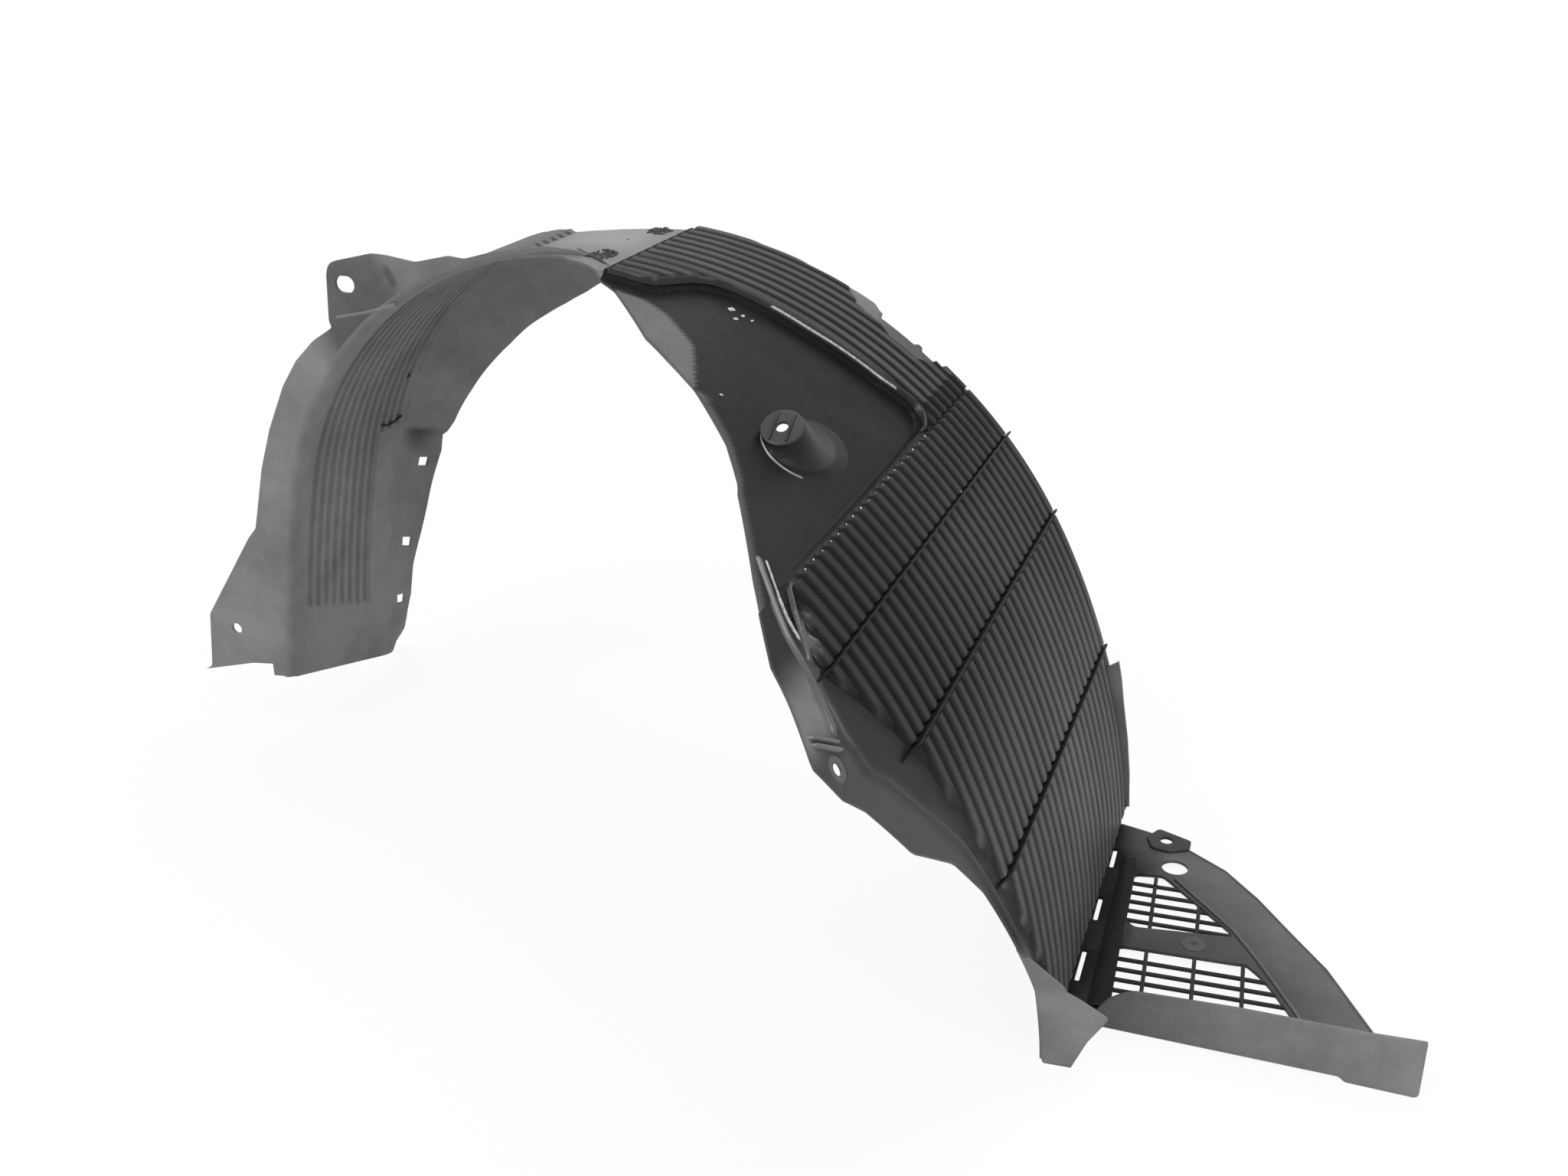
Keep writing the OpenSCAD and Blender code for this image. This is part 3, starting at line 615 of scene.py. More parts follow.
def crown_relief(make):
    z = make.sizes

    def relief(t, y):
        d = wall_side(t, y)
        room = np.minimum(make.arch.far_y(t) - notch(t), rib_far(t)) - y
        ribs = rib_shape(y, RIB_Y, z.rib_pitch / MM, z.rib_rise / MM) * ease((t - RIDGE - 0.35) / 0.5)
        ribs = ribs * ease((d - 0.5) / 4) * ease(room / 2.5)
        low = -z.wall_drop / MM * (1 - ease((d + 4) / 4)) * ease((t - RIDGE + 1.2) / 1.6) * (y < 40)
        ridge = 1.6 * bell(t - RIDGE, 0.2) * ease((y - bead_line(RIDGE)) / 6 + 1)
        band = np.maximum(grey_line(t) - y, 0) * ease((t - 7) / 4) * ease((26 - t) / 3)
        u = np.clip((y - far_line(t)) / np.maximum(FAR_SIDE - wall_short(t) - far_line(t), 1), 0, 1)
        fall = wall_fall(t) * u**1.45 * (t < 17)
        return ribs + low + ridge - 0.03 * band - fall

    return relief


def leg_relief(make):
    pitch = make.sizes.rib_pitch / MM

    def relief(t, y):
        d = path_distance(t, y, RIB_PATH) * np.where(y >= rib_near(t), 1, -1)
        ribs = rib_shape(y, RIB_Y - 23 * pitch, pitch, make.sizes.rib_rise / MM)
        ribs = ribs * ease(d / 2.2) * ease((t - CORNER - 0.05) / 0.5) * ease(make.arch.toe_end - 0.5 - t)
        for fin in FIN_TURNS:
            gap = fin - t
            ribs = ribs * np.where(gap > 0, ease((gap - 0.04) / 0.25), 1.0)
        crease = path_distance(t, y, CREASE_PATH) * np.where(y > crease_line(t), 1, -1)
        step = make.band_level(t) - 0.5 * ease(-crease / 7)
        step = step + 1.3 * bell(crease, 2.6) * (t < 80) * ease((t - 50.5) / 3)
        return ribs + step * (1 - ease((d + 4) / 4))

    return relief


class LINER_OT_rear_arch(Operator):
    """Heel leg and the arch behind the crown, with its turned-in far wall"""

    bl_idname = "liner.rear_arch"
    bl_label = "Rear arch"

    def execute(self, context):
        make = Maker(context)
        arch = make.arch
        half = math.degrees(4.4 / arch.radii[0])
        clips = ((-78.0, 157, 3), (-81.8, 151, 3), (-84.5, 146.5, 5.6))

        def low_turn(side):
            """Turn of the bottom edge, which slopes down to the far side."""
            z = HEEL_NEAR_Z * (FAR_SIDE - side) / (FAR_SIDE - FLANGE_Y)
            rise = np.clip((z - arch.centres[0][1]) / arch.radii[0], -1, 1)
            return np.maximum(-np.degrees(np.arccos(rise)), -90)

        def foot(turn, side):
            """Bends the lowest rows onto the sloping bottom edge and the ends of the ribs."""
            low, ends = low_turn(side), rib_foot(side)
            lower = low + (turn + 90) * (ends - low) / 5
            upper = ends + (turn + 85) * (-80 - ends) / 5
            return np.where(turn < -85, lower, np.where(turn < -80, upper, turn))

        def before_foot(turn, side):
            low, ends = low_turn(side), rib_foot(side)
            if turn > -80:
                return turn
            if turn > ends:
                return (turn - ends) * 5 / (-80 - ends) - 85
            return (turn - low) * 5 / (ends - low) - 90

        fine = [(-84.7, 0.4, 4), (RIB_WIDEN, 1.2, 5), (RIB_STOP, 1.3, 8), (BACK_TURN, 0.8, 3)]
        fine.append((-79.6, 1.0, 2))
        for t, y, _ in clips:
            low, high = before_foot(t - half, y), before_foot(t + half, y)
            fine.append(((low + high) / 2, (high - low) / 2, 1))
        turns = arch.stations(-90.0, RIB_STOP, 3.6, fine)
        near_y = FLANGE_Y - 2 + CORNER_R
        sides = [np.linspace(near_y, BACK_Y, 5), rib_sides(BACK_Y, 133, BACK_STEP, BACK_CREST, BACK_FLANK)]
        sides += [np.linspace(134, 142, 4), np.arange(145, 162, 3), (162.5, FAR_SIDE)]
        sides = np.unique(np.concatenate(sides))

        def dust_and_painted_light(t, y, face):
            r = np.mod(y - BACK_Y, BACK_STEP)
            # Painted highlight along each rib's crest edge and painted shade in the trough beside it
            line = 0.1 * bell(r - 2.2, 0.9) - 0.16 * bell(r - 7.4, 1.3)
            line = line * (1 + 1.4 * ease((t + 58) / 25))
            tread = 0.78 + 0.17 * ease((-70 - t) / 12) + 0.1 * ease((t + 50) / 40)
            ribbed = (y > BACK_Y) * (y < np.where(t < RIB_WIDEN, RIB_NARROW, far_line(t)))
            ribbed = ribbed * (t > rib_foot(y)) * (t < RIB_STOP)
            edge = bell(y - RIB_NARROW - 0.6, 1.3) * ease((RIB_WIDEN + 0.8 - t) / 0.8)
            tread = tread + line * ribbed - 0.3 * edge * (t > rib_foot(y))
            wall = 0.88 - 0.02 * ease((t + 60) / 30) + 0.12 * clip_zone(t)
            d = tread + (0.9 - tread) * ease((14 - y) / 12) * ease((-8 - t) / 40)
            d = d + (wall - d) * ease((y - far_line(t)) / 10)
            # Painted shade in the hollow above the clip holes
            d = d + (0.1 - d) * 0.8 * bell(t + 76.4, 0.9) * bell(y - 150, 9)
            if face < 0:
                return d
            # On the outer face the rib crests are lighter and the troughs darker
            crests = rib_shape(y, BACK_Y, BACK_STEP, 1, flank=BACK_FLANK, crest=BACK_CREST)
            return d * (0.62 + ribbed * (0.55 * crests - 0.45))

        slots = [(t, y, half, wide) for t, y, wide in clips]
        plain = lambda t, y: 0 * t
        relief = back_relief(make)
        near = lambda t: np.full_like(t, near_y)
        make.skin("rear_arch", turns, sides, near, rear_far, relief, dust_and_painted_light, plain, foot, slots=slots)

        # Rounded corner between the tread and the flange
        turns = np.array([low_turn(FLANGE_Y), *arch.stations(-84.0, RIB_STOP, 4.0)])
        a = np.linspace(0, math.pi / 2, 9)
        rows = []
        for r in (CORNER_R, CORNER_R - make.wall):
            off = CORNER_R - make.wall - r * np.cos(a)
            rows.append(arch.xyz(turns[:, None], off, near_y - r * np.sin(a)))
        loop = np.concatenate([rows[0], rows[1][:, ::-1]], 1)
        n, m = loop.shape[:2]
        faces = grid_faces(n, m, ring=True, flip=True)
        faces += [list(range(m))[::-1], [(n - 1) * m + j for j in range(m)]]
        tone = 0.9 - 0.06 * ease((np.repeat(turns, m) + 60) / 40)
        make.mesh("rear_corner", loop.reshape(-1, 3), faces, tone, sharp=50)
        return {"FINISHED"}


class LINER_OT_near_flange(Operator):
    """Flange up the heel leg, with the heel's hole, the ear and the lip over the crown"""

    bl_idname = "liner.near_flange"
    bl_label = "Near flange"

    def execute(self, context):
        make = Maker(context)
        arch, n = make.arch, make.sizes.ring_points
        outer = [
            (-85.4, 80.5), (-85.1, 73.5), (-82.9, 72.5), (-79.2, 36), (-78.7, 30), (-74.9, 28), (-68, 27),
            (-60, 27), (-54.9, 26), (-50.2, 22.6), (-46, 17), (-45.6, 21.6), (-40.6, 45), (-39.6, 48),
            (-38.7, 48), (-32.9, 35.8), (-31, 29.5), (-27.1, 15.5), (-21.4, 10.3), (-19, 5), (-12.9, 5),
            (-4.8, 5), (0, 3), (2, 0),
        ]
        rise = CORNER_R - make.wall
        inner = [(turn, -make.wall / 2) for turn in (0, -3, -6, -8.9)] + [(-9, rise)]
        inner += [(turn, rise) for turn in range(-11, -84, -2)]
        inner += [(-84.7, rise), (-84.8, 13.7), (-84.3, 14.6), (-84.5, 33)]
        loop = eased(arch.outline(outer), 2.2) + arch.outline(inner)
        heel, ear = arch.xz(-83.2, 47.4), arch.xz(-39.3, 30.6)
        y0 = FLANGE_Y - 2
        a = np.linspace(0.01, 2 * math.pi + 0.01, n, endpoint=False)
        slotted = np.stack([ear[0] + 1.8 * np.sign(np.cos(a)) + 6 * np.cos(a), ear[1] + 6 * np.sin(a)], -1)

        def dust_and_painted_light(p):
            turn = np.degrees(np.arctan2(p[:, 0], p[:, 2] - arch.centres[1][1]))
            ear_part = ease((turn + 50) / 3) * ease((-31 - turn) / 3)
            # Painted shade: the ear is darker over its bend
            return 0.92 - 0.42 * ear_part - 0.12 * ease((turn + 30) / 8)

        lift = lambda a, b: (a, y0, b)
        make.slab("near_flange", [loop, circle(*heel, 4.5, n), slotted], lift, (0, make.wall, 0), dust_and_painted_light)

        def fold(name, knots, rows, columns, aside, reach, start, depth, tone, shade):
            """Soft fold raised from the flange. knots are in X and Z, and aside is half its width. tone is
            its colour amount, and shade darkens one side of the swell as painted shade.
            """
            s, v = np.linspace(0, 1, rows), np.linspace(-1, 1, columns)
            swell = ease(np.minimum(s, 1 - s) / reach + start)[:, None] * (np.cos(v * math.pi) * 0.5 + 0.5)
            xz = along(knots, rows)[:, None] + v[:, None] * np.array(aside)
            points = np.stack([xz[..., 0], y0 + 0.3 - depth * swell, xz[..., 1]], -1).reshape(-1, 3)
            tones = np.clip(tone - shade * swell * (v + 0.4), 0, 1).reshape(-1)
            make.mesh(name, points, grid_faces(rows, columns), tones, sharp=60)

        # The ear bends softly beside its hole, with painted shade on one side of the bend, and has a lighter
        # lower edge
        knots = ((-149, 394), (-144, 385), (-140, 377))
        fold("ear_bend", knots, 24, 15, (5.16, 3.0), 0.3, 0, 1.9, 0.7, 0.42)
        knots = ((-196, 352), (-168, 358), (-141, 366))
        fold("ear_edge", knots, 20, 9, (-0.34, 1.666), 0.25, 0.02, 1, 0.95, 0)
        return {"FINISHED"}


class LINER_OT_crown(Operator):
    """Smooth bridge over the crown, the ridge, the first ribs and the smooth near wall"""

    bl_idname = "liner.crown"
    bl_label = "Crown and near wall"

    def execute(self, context):
        make = Maker(context)
        arch = make.arch
        fine = [(t, 0.2, 1) for t in (30.75, 35.75, 36.65, 39.75)]
        fine += [(RIDGE, 1.2, 12), (CORNER - 0.9, 0.9, 9)]
        turns = arch.stations(RIB_STOP, CORNER, 2.4, fine)
        rib_rows = rib_sides(RIB_Y + RIB_STEP, 108, RIB_STEP)
        sides = [np.linspace(-298, -50, 78), np.linspace(-50, 16, 67), rib_rows, np.linspace(108, 165, 18)]
        sides = np.unique(np.round(np.concatenate(sides), 2))

        def far(t):
            ribbon = FAR_SIDE - wall_short(t)
            edge = arch.far_y(t) - notch(t) + 7 * ease((t - 22) / 5) * ease((30.4 - t) / 1.5)
            return np.where(t < 16.5, np.maximum(ribbon, edge), edge)

        def dust_and_painted_light(t, y, face):
            # The bridge's middle is lighter, a painted sheen
            bridge = 0.68 + 0.32 * ease((y - 10) / 30) * ease((t + 9) / 6) * ease((5 - t) / 4)
            r = np.mod(y - RIB_Y, RIB_STEP)
            # Painted highlight: a thin light line along each rib's crest edge, and a faint lightening of the
            # crest
            line = 0.42 * bell(r - 2.4, 0.65)
            line = line + 0.07 * ease((r - 2) / 2) * ease((8.5 - r) / 2)
            ribs = 0.03 + line * (t < 41)
            wall = 0.05 * ease((-y - 120) / 120) * ease((t - 26) / 12)
            d = np.where(t < RIDGE, bridge, np.where(wall_side(t, y) > 1.5, ribs, wall))
            band = ease((grey_line(t) - y) / 3.5) * ease((t - 7) / 2) * ease((27 - t) / 2)
            d = d + (0.5 - d) * band
            d = d + (0.3 - d) * ease((near_edge(t) + 6 - y) / 5) * (t > 26)
            # Painted light: the strip of far wall beyond the ribs faces up and is painted lighter
            strip = 0.8 - 0.4 * ease((t - 29) / 4)
            d = d + (strip - d) * ease((y - rib_far(t)) / 3) * (t > 20) * (t < 40)
            return d if face > 0 else np.full_like(t, 0.5)

        shine = lambda t, y: 0.2 * (t < RIDGE)
        # The sheet is open under the hollow boss
        open_under = (BOSS_TURN - 0.1, BOSS_Y - 2, 3.9, 33)
        make.skin("crown", turns, sides, near_edge, far, crown_relief(make), dust_and_painted_light, shine, holes=[open_under])
        # Bead where the ribs drop to the wall, with its corners rounded, and the line of light on it
        knots = np.array(WALL_PATH[:18])
        steps = np.diff(knots, axis=0)
        run = np.concatenate([[0], np.cumsum(np.hypot(np.radians(steps[:, 0]) * PATH_R, steps[:, 1]))])
        s = np.linspace(0, run[-1], 150)
        soft = bell(np.arange(-4, 5), 2.2)
        rows = [np.pad(np.interp(s, run, knots[:, i]), 4, "edge") for i in (0, 1)]
        path = np.stack([np.convolve(row, soft / soft.sum(), "valid") for row in rows], -1)
        make.ridge("wall_bead", path, 3.6, make.sizes.bead_rise / MM, 0.0, 0.0, 0.35)
        bright = path[(path[:, 0] > 22) & (path[:, 0] < 38)] - (0, 1.5)
        make.ridge("bead_glint", bright, 1.1, 0.8, 2.0, 1.0, 0.9, spot_and_glint_material(make.finish))
        return {"FINISHED"}


class LINER_OT_boss(Operator):
    """Hollow boss on the near wall, with its pad, hole and two low ridges"""

    bl_idname = "liner.boss"
    bl_label = "Boss"

    def execute(self, context):
        make = Maker(context)
        arch, n = make.arch, make.sizes.ring_points
        lean = math.radians(35)
        top = arch.xyz(33.3, 8, -155.6)
        up = np.array([0, -math.sin(lean), math.cos(lean)])
        ex, ey = np.array([1.0, 0, 0]), np.array([0, math.cos(lean), math.sin(lean)])
        a = np.linspace(0, 2 * math.pi, n, endpoint=False)
        ring = np.outer(np.cos(a), ex) + np.outer(np.sin(a), ey)
        oval = lambda p, q: top + np.outer(np.cos(a) * p, ex) + np.outer(np.sin(a) * q, ey)
        edge = oval(12.4, 12.2) - up * 0.5
        rings = [oval(3.6, 3.6), oval(4.2, 4.2), oval(7.0, 7.0), oval(11.4, 11.2), edge]
        turn = BOSS_TURN + 4.3 * np.cos(a)
        side = BOSS_Y + 40 * np.sin(a) + 8 * np.cos(a)
        floor = -make.sizes.wall_drop / MM
        base = arch.xyz(turn, floor - 0.35, side)
        normal = arch.normal(turn)
        out = base - edge
        size = np.linalg.norm(out, axis=1)[:, None]
        out = out - normal * np.sum(out * normal, 1)[:, None]
        out /= np.linalg.norm(out, axis=1)[:, None]
        # The skirt leaves the pad's edge downwards and lands level with the wall
        leave = (-up * 0.95 + ring * 0.35) * size * 0.55
        land = out * size * 1.05
        for s in np.linspace(0, 1, 17)[1:]:
            start, end = 2 * s**3 - 3 * s**2 + 1, 3 * s**2 - 2 * s**3
            rings.append(start * edge + (s**3 - 2 * s**2 + s) * leave + end * base + (s**3 - s**2) * land)
        k = len(rings)
        level = np.repeat(np.arange(k), n) / k
        around = np.tile(np.degrees(a), k)
        dust_and_painted_light = 0.03 + 0.22 * (level < 0.2)
        # A faint painted highlight on the skirt's upper side
        dust_and_painted_light = dust_and_painted_light + 0.03 * ease((np.tile(np.sin(a), k) + 0.2) * 1.2) * (level > 0.3)
        shine = 0.12 * (level >= 0.2) * (level < 0.75)
        shine = shine + 0.8 * (abs(level - 0.2) < 0.04) * (abs(around - 225) < 55)
        boss = make.mesh("boss", np.concatenate(rings), grid_faces(k, n, ring=True), dust_and_painted_light, shine, sharp=50)
        thicken(boss, 2.2, -1)
        # Painted highlight: a bright line where the skirt meets the wall on its near side
        low = np.radians(np.linspace(196, 292, 40))
        path = np.stack([BOSS_TURN + 4.5 * np.cos(low), BOSS_Y + 41.5 * np.sin(low) + 8 * np.cos(low)], -1)
        make.ridge("boss_rim", path, 1.8, 0.8, floor, 1.0, 0.8)
        lift = lambda p, q: tuple(top + ex * p + ey * q - up * 0.3)
        for k, x in enumerate((-4.7, 5.2)):
            bar = oblong(x - 0.7, x + 0.7, -9.5, 9.5)
            make.slab(f"boss_ridge_{k}", [bar], lift, tuple(up * 1.3), 0.02, 0.4, soften=0.3)
        return {"FINISHED"}


class LINER_OT_front_leg(Operator):
    """Ribbed front leg with its smooth near band"""

    bl_idname = "liner.front_leg"
    bl_label = "Front leg"

    def execute(self, context):
        make = Maker(context)
        arch = make.arch
        pitch = make.sizes.rib_pitch / MM
        fine = [(CORNER + 0.3, 0.3, 2)] + [(f - 0.25, 0.2, 2) for f in FIN_TURNS] + [(arch.toe_end - 1, 1, 3)]
        turns = arch.stations(CORNER, arch.toe_end, 3.6, fine)
        near_sides = np.concatenate([np.linspace(-346.4, -160, 80), rib_near((43, 46, 49.1))])
        near_sides = np.unique(np.round(near_sides, 2))
        start = RIB_Y - 23 * pitch
        sides = np.unique(np.round(rib_sides(start, 108, pitch), 2))
        sides = sides[np.concatenate([[True], np.diff(sides) > 0.55])]

        def dust_and_painted_light(t, y, face):
            r = np.mod(y - start, pitch)
            # Painted highlight: a thin light line along each rib's crest edge, and a faint lightening of the
            # crest
            strength = 0.12 + 0.2 * ease((y + 200) / 150) * ease((t - 46) / 8) + 0.3 * ease((t - 61) / 10)
            line = strength * bell(r - 2.3, 0.85)
            line = line + 0.04 * ease((r - 2) / 2) * ease((8.5 - r) / 2)
            ribs = 0.02 + line + 0.09 * ease((t - 57) / 14)
            crease = crease_line(t)
            band = 0.07 + 0.16 * ease((crease - y) / 6) * ease((t - 53) / 3) * ease((78 - t) / 10)
            # Painted highlight along the fold at the crease
            band = band + 0.14 * bell(y - crease, 1.8) * ease((t - 54) / 3) * ease((80 - t) / 6)
            edge = ease((crease - 1 - y) / 9) * ease((t - 46.5) / 4) * ease((55 - t) / 3)
            band = band + (0.7 - band) * edge
            band = band + (1.0 - band) * ease((t - 75) / 5) * ease((rib_near(t) - y) / 8)
            d = np.where(y >= rib_near(t), ribs, band)
            return d if face > 0 else np.full_like(t, 0.4)

        def shine(t, y):
            close = bell(path_distance(t, y, CREASE_PATH), 2.4)
            return 0.6 * close * ease((56 - t) / 2) * ease((t - 45) / 2)

        relief = leg_relief(make)
        hole = (HOLE_TURN, HOLE_Y, math.degrees(7.5 / PATH_R), 7.5)
        make.skin("front_leg", turns, sides, rib_near, arch.far_y, relief, dust_and_painted_light, shine)
        make.skin("near_band", turns, near_sides, near_edge, rib_near, relief, dust_and_painted_light, shine, holes=[hole])
        # Glossy bead along the edge, the painted highlight line beside it, and the rounded lip at the ribs'
        # corner
        knots = ((39.5, -257), (41, -266.5), (43.5, -280), (46, -293), (49.4, -304), (52, -311), (54, -316))
        make.ridge("edge_bead", along(knots, 60), 5.5, 1.1, make.band_level, 0.2, 0.85)
        path = along(((40.4, -256), (42.5, -268), (45, -281), (47.5, -290)), 60)
        make.ridge("edge_line", path, 1.5, 0.8, make.band_level, 0.2, 0.85, spot_and_glint_material(make.finish))
        path = along(((43.15, -259), (43.5, -266), (44.8, -275), (46.6, -285), (48.6, -297)), 40)
        make.ridge("rib_corner", path, 2.6, 2.0, -0.9, 0.1, 0.6)
        return {"FINISHED"}


class LINER_OT_leg_details(Operator):
    """Cross fins, the hole and step in the near edge, and the tab at the far edge"""

    bl_idname = "liner.leg_details"
    bl_label = "Fins and edge details"

    def execute(self, context):
        make = Maker(context)
        arch, n = make.arch, make.sizes.ring_points
        top = (make.sizes.rib_rise + make.sizes.fin_rise) / MM
        for k, fin in enumerate(FIN_TURNS):
            y0, y1 = float(rib_near(fin)) - (14 if k == 1 else 6), float(arch.far_y(fin)) + 4
            corners = [(y0, -1.5), (y1 - 5, -1.5), (y1, top - 0.6), (y1 - 1, top), (y0 + 16, top), (y0, 0)]
            out = arch.normal(fin)
            across = np.array([out[2], 0, -out[0]])
            foot = arch.xyz(fin, 0, 0) - across * 0.6
            lift = lambda a, b, foot=foot, out=out: tuple(foot + out * b + np.array([0, a, 0]))
            make.slab(f"fin_{k}", [eased(corners, 1.2)], lift, tuple(across * 1.2), 0.02, soften=0.4)
        # Washer face round the edge hole
        a = np.linspace(0, 2 * math.pi, n, endpoint=False)
        rings = []
        for r, lift in ((3.0, -0.3), (3.35, 0.15), (5.5, 0.25), (7.2, 0.1), (8.6, -0.5)):
            turn = HOLE_TURN + np.degrees(r / PATH_R) * np.cos(a)
            rings.append(arch.xyz(turn, -1.7 + lift, HOLE_Y + r * np.sin(a)))
        faces = grid_faces(len(rings), n, ring=True, flip=True)
        washer = make.mesh("edge_hole_face", np.concatenate(rings), faces, 0.42, sharp=50)
        thicken(washer, 1.9, 1)
        for k, ends in enumerate((((51.95, -338.5), (54.6, -316)), ((52.5, -340), (55.2, -317.5)))):
            make.ridge(f"edge_step_{k}", along(ends, 14), 4.2, 3.0, -1.8, 0.3, 0.9)
        outer = arch.outline([(72.4, 11.6), (74, 10.6), (76, 8.6), (79, 7.6), (82, 6.6), (85, 5.6)])
        inner = arch.outline([(t, -make.wall / 2) for t in range(85, 72, -2)])
        lift = lambda p, q: (p, 85 - make.wall, q)
        make.slab("far_tab", [eased(outer, 1.5) + inner], lift, (0, make.wall, 0), 0.9)
        return {"FINISHED"}


class LINER_OT_grille_panel(Operator):
    """Panel folded out at the toe, with two barred windows, three slots, its tab and holes"""

    bl_idname = "liner.grille_panel"
    bl_label = "Grille panel"

    def execute(self, context):
        make = Maker(context)
        arch, n = make.arch, make.sizes.ring_points
        fx, top = arch.fold_x, PANEL_Z + make.wall
        far_y, near_y = 79, STRIP_Y + 0.8
        # Outline ahead of the fold. It steps in below the tab, so that the tab's hole is open.
        line = [
            (-1.2, far_y), (22, 74), (27.5, 71.5), (28, 57), (43, 56), (44, 63.5), (49, 61), (79, 41),
            (103, 14), (127, -19), (151, -51), (179, -103), (203, near_y), (-1.2, near_y),
        ]
        line = [(fx + x, y) for x, y in line]
        middle = np.array([fx + 68, -52])
        turn = math.radians(4)
        spin = np.array([[math.cos(turn), -math.sin(turn)], [math.sin(turn), math.cos(turn)]])
        upper = [(-43, 72), (-44, 16), (-39, 9), (24, 15), (23, 20), (-24, 75)]
        lower = [(-47, -16), (-43, -14), (28, -13), (33, -12), (41, -21), (48, -32), (61, -58), (70, -76)]
        lower.append((-46, -77))
        place = lambda points: [tuple(middle + spin @ np.array(p, float)) for p in points]
        slots = []
        for a, b, c in ((44, 19, 0), (-19, -47, 0.4), (-81, -115, 0.8)):
            x = fx + 0.9 + c
            slots.append(eased([(x, a), (x + 3, a), (x + 3.7, b), (x + 0.7, b)], 1.2))
        tab, hole, gate = (fx + 35, far_y - 15), (fx + 45, far_y - 45), (fx + 68, -52)

        def plate(name, loops, z, high, dust_and_painted_light, soften=0.5):
            make.slab(name, loops, lambda a, b: (a, b, z), (0, 0, high), dust_and_painted_light, soften=soften)

        def dust_and_painted_light(p):
            outer = ease((p[:, 0] + p[:, 1] * 0.75 - (fx + 62)) / 14)
            fold = ease((fx + 34 - p[:, 0]) / 12)
            return 0.3 + 0.26 * outer - 0.26 * fold

        # A narrow web is left between the large hole and the corner of the window beside it
        windows = [place(eased(w, 3.5)) for w in (upper, lower)]
        loops = [eased(line, 3)] + windows + slots + [circle(*hole, 9, n)]
        plate("grille_panel", loops, PANEL_Z, make.wall, dust_and_painted_light)

        def span(poly, axis, value):
            """Where a line across a window meets its outline."""
            hits = []
            for i in range(len(poly)):
                p, q = poly[i - 1], poly[i]
                if (p[axis] - value) * (q[axis] - value) < 0:
                    s = (value - p[axis]) / (q[axis] - p[axis])
                    hits.append(p[1 - axis] + s * (q[1 - axis] - p[1 - axis]))
            return (min(hits), max(hits)) if len(hits) > 1 else None

        half, k = 1.3, 0
        for poly, rows in ((upper, range(17, 73, 11)), (lower, range(-27, -72, -11))):
            bars = []
            for axis, values in ((1, rows), (0, (-28.5, 1.5, 31.5))):
                for value in values:
                    ends = span(poly, axis, value)
                    if ends:
                        long, wide = (ends[0] - 2, ends[1] + 2), (value - half, value + half)
                        bars.append(oblong(*long, *wide) if axis else oblong(*wide, *long))
            for b, bar in enumerate(bars):
                z = PANEL_Z + (0.27 if b >= len(bars) - 3 else 0.15)
                plate(f"grille_bar_{k}", [place(bar)], z, make.wall - 0.35, 0.1, 0.45)
                k += 1
        # Raised places: the tab, the gate mark, the fold's step, the crease and the outer rim
        house = [(-14, 1), (-7, 14), (17, 5), (17, -6), (4, -14), (-9, -12)]
        house = [(tab[0] + a, tab[1] + b) for a, b in house]
        plate("panel_tab", [eased(house, 2.5), circle(*tab, 4.3, n)], top - 0.4, 2.4, 0.26, 0.7)
        plate("panel_gate_mark", [circle(*gate, 8, n), circle(*gate, 2.2, 16)], top - 0.3, 0.8, 0.4, 0.3)
        step = [(fx + 14.5, -139), (fx + 28, -135), (fx + 17.5, 36), (fx + 9, 33)]
        plate("panel_step", [eased(step, 3)], top - 0.4, 2.3, 0.01, 0.7)
        crease = np.array([(47, 19), (91, -29), (109, -57), (136, -104), (154, STRIP_Y + 1)]) + (fx, 0)
        d = crease[[1, 2, 3, 4, 4]] - crease[[0, 0, 1, 2, 3]]
        aside = 1.2 * np.stack([-d[:, 1], d[:, 0]], -1) / np.linalg.norm(d, axis=1)[:, None]
        outline = np.concatenate([crease + aside, (crease - aside)[::-1]])
        plate("panel_crease", [outline], top - 0.4, 2.0, 0.5, 0.9)
        centre, rim = np.array([fx + 60, -50]), np.array(line[6:-1])
        inset = centre + (rim - centre) * 0.984
        plate("panel_rim", [np.concatenate([rim, inset[::-1]])], top - 0.3, 0.9, 0.55, 0.35)
        return {"FINISHED"}


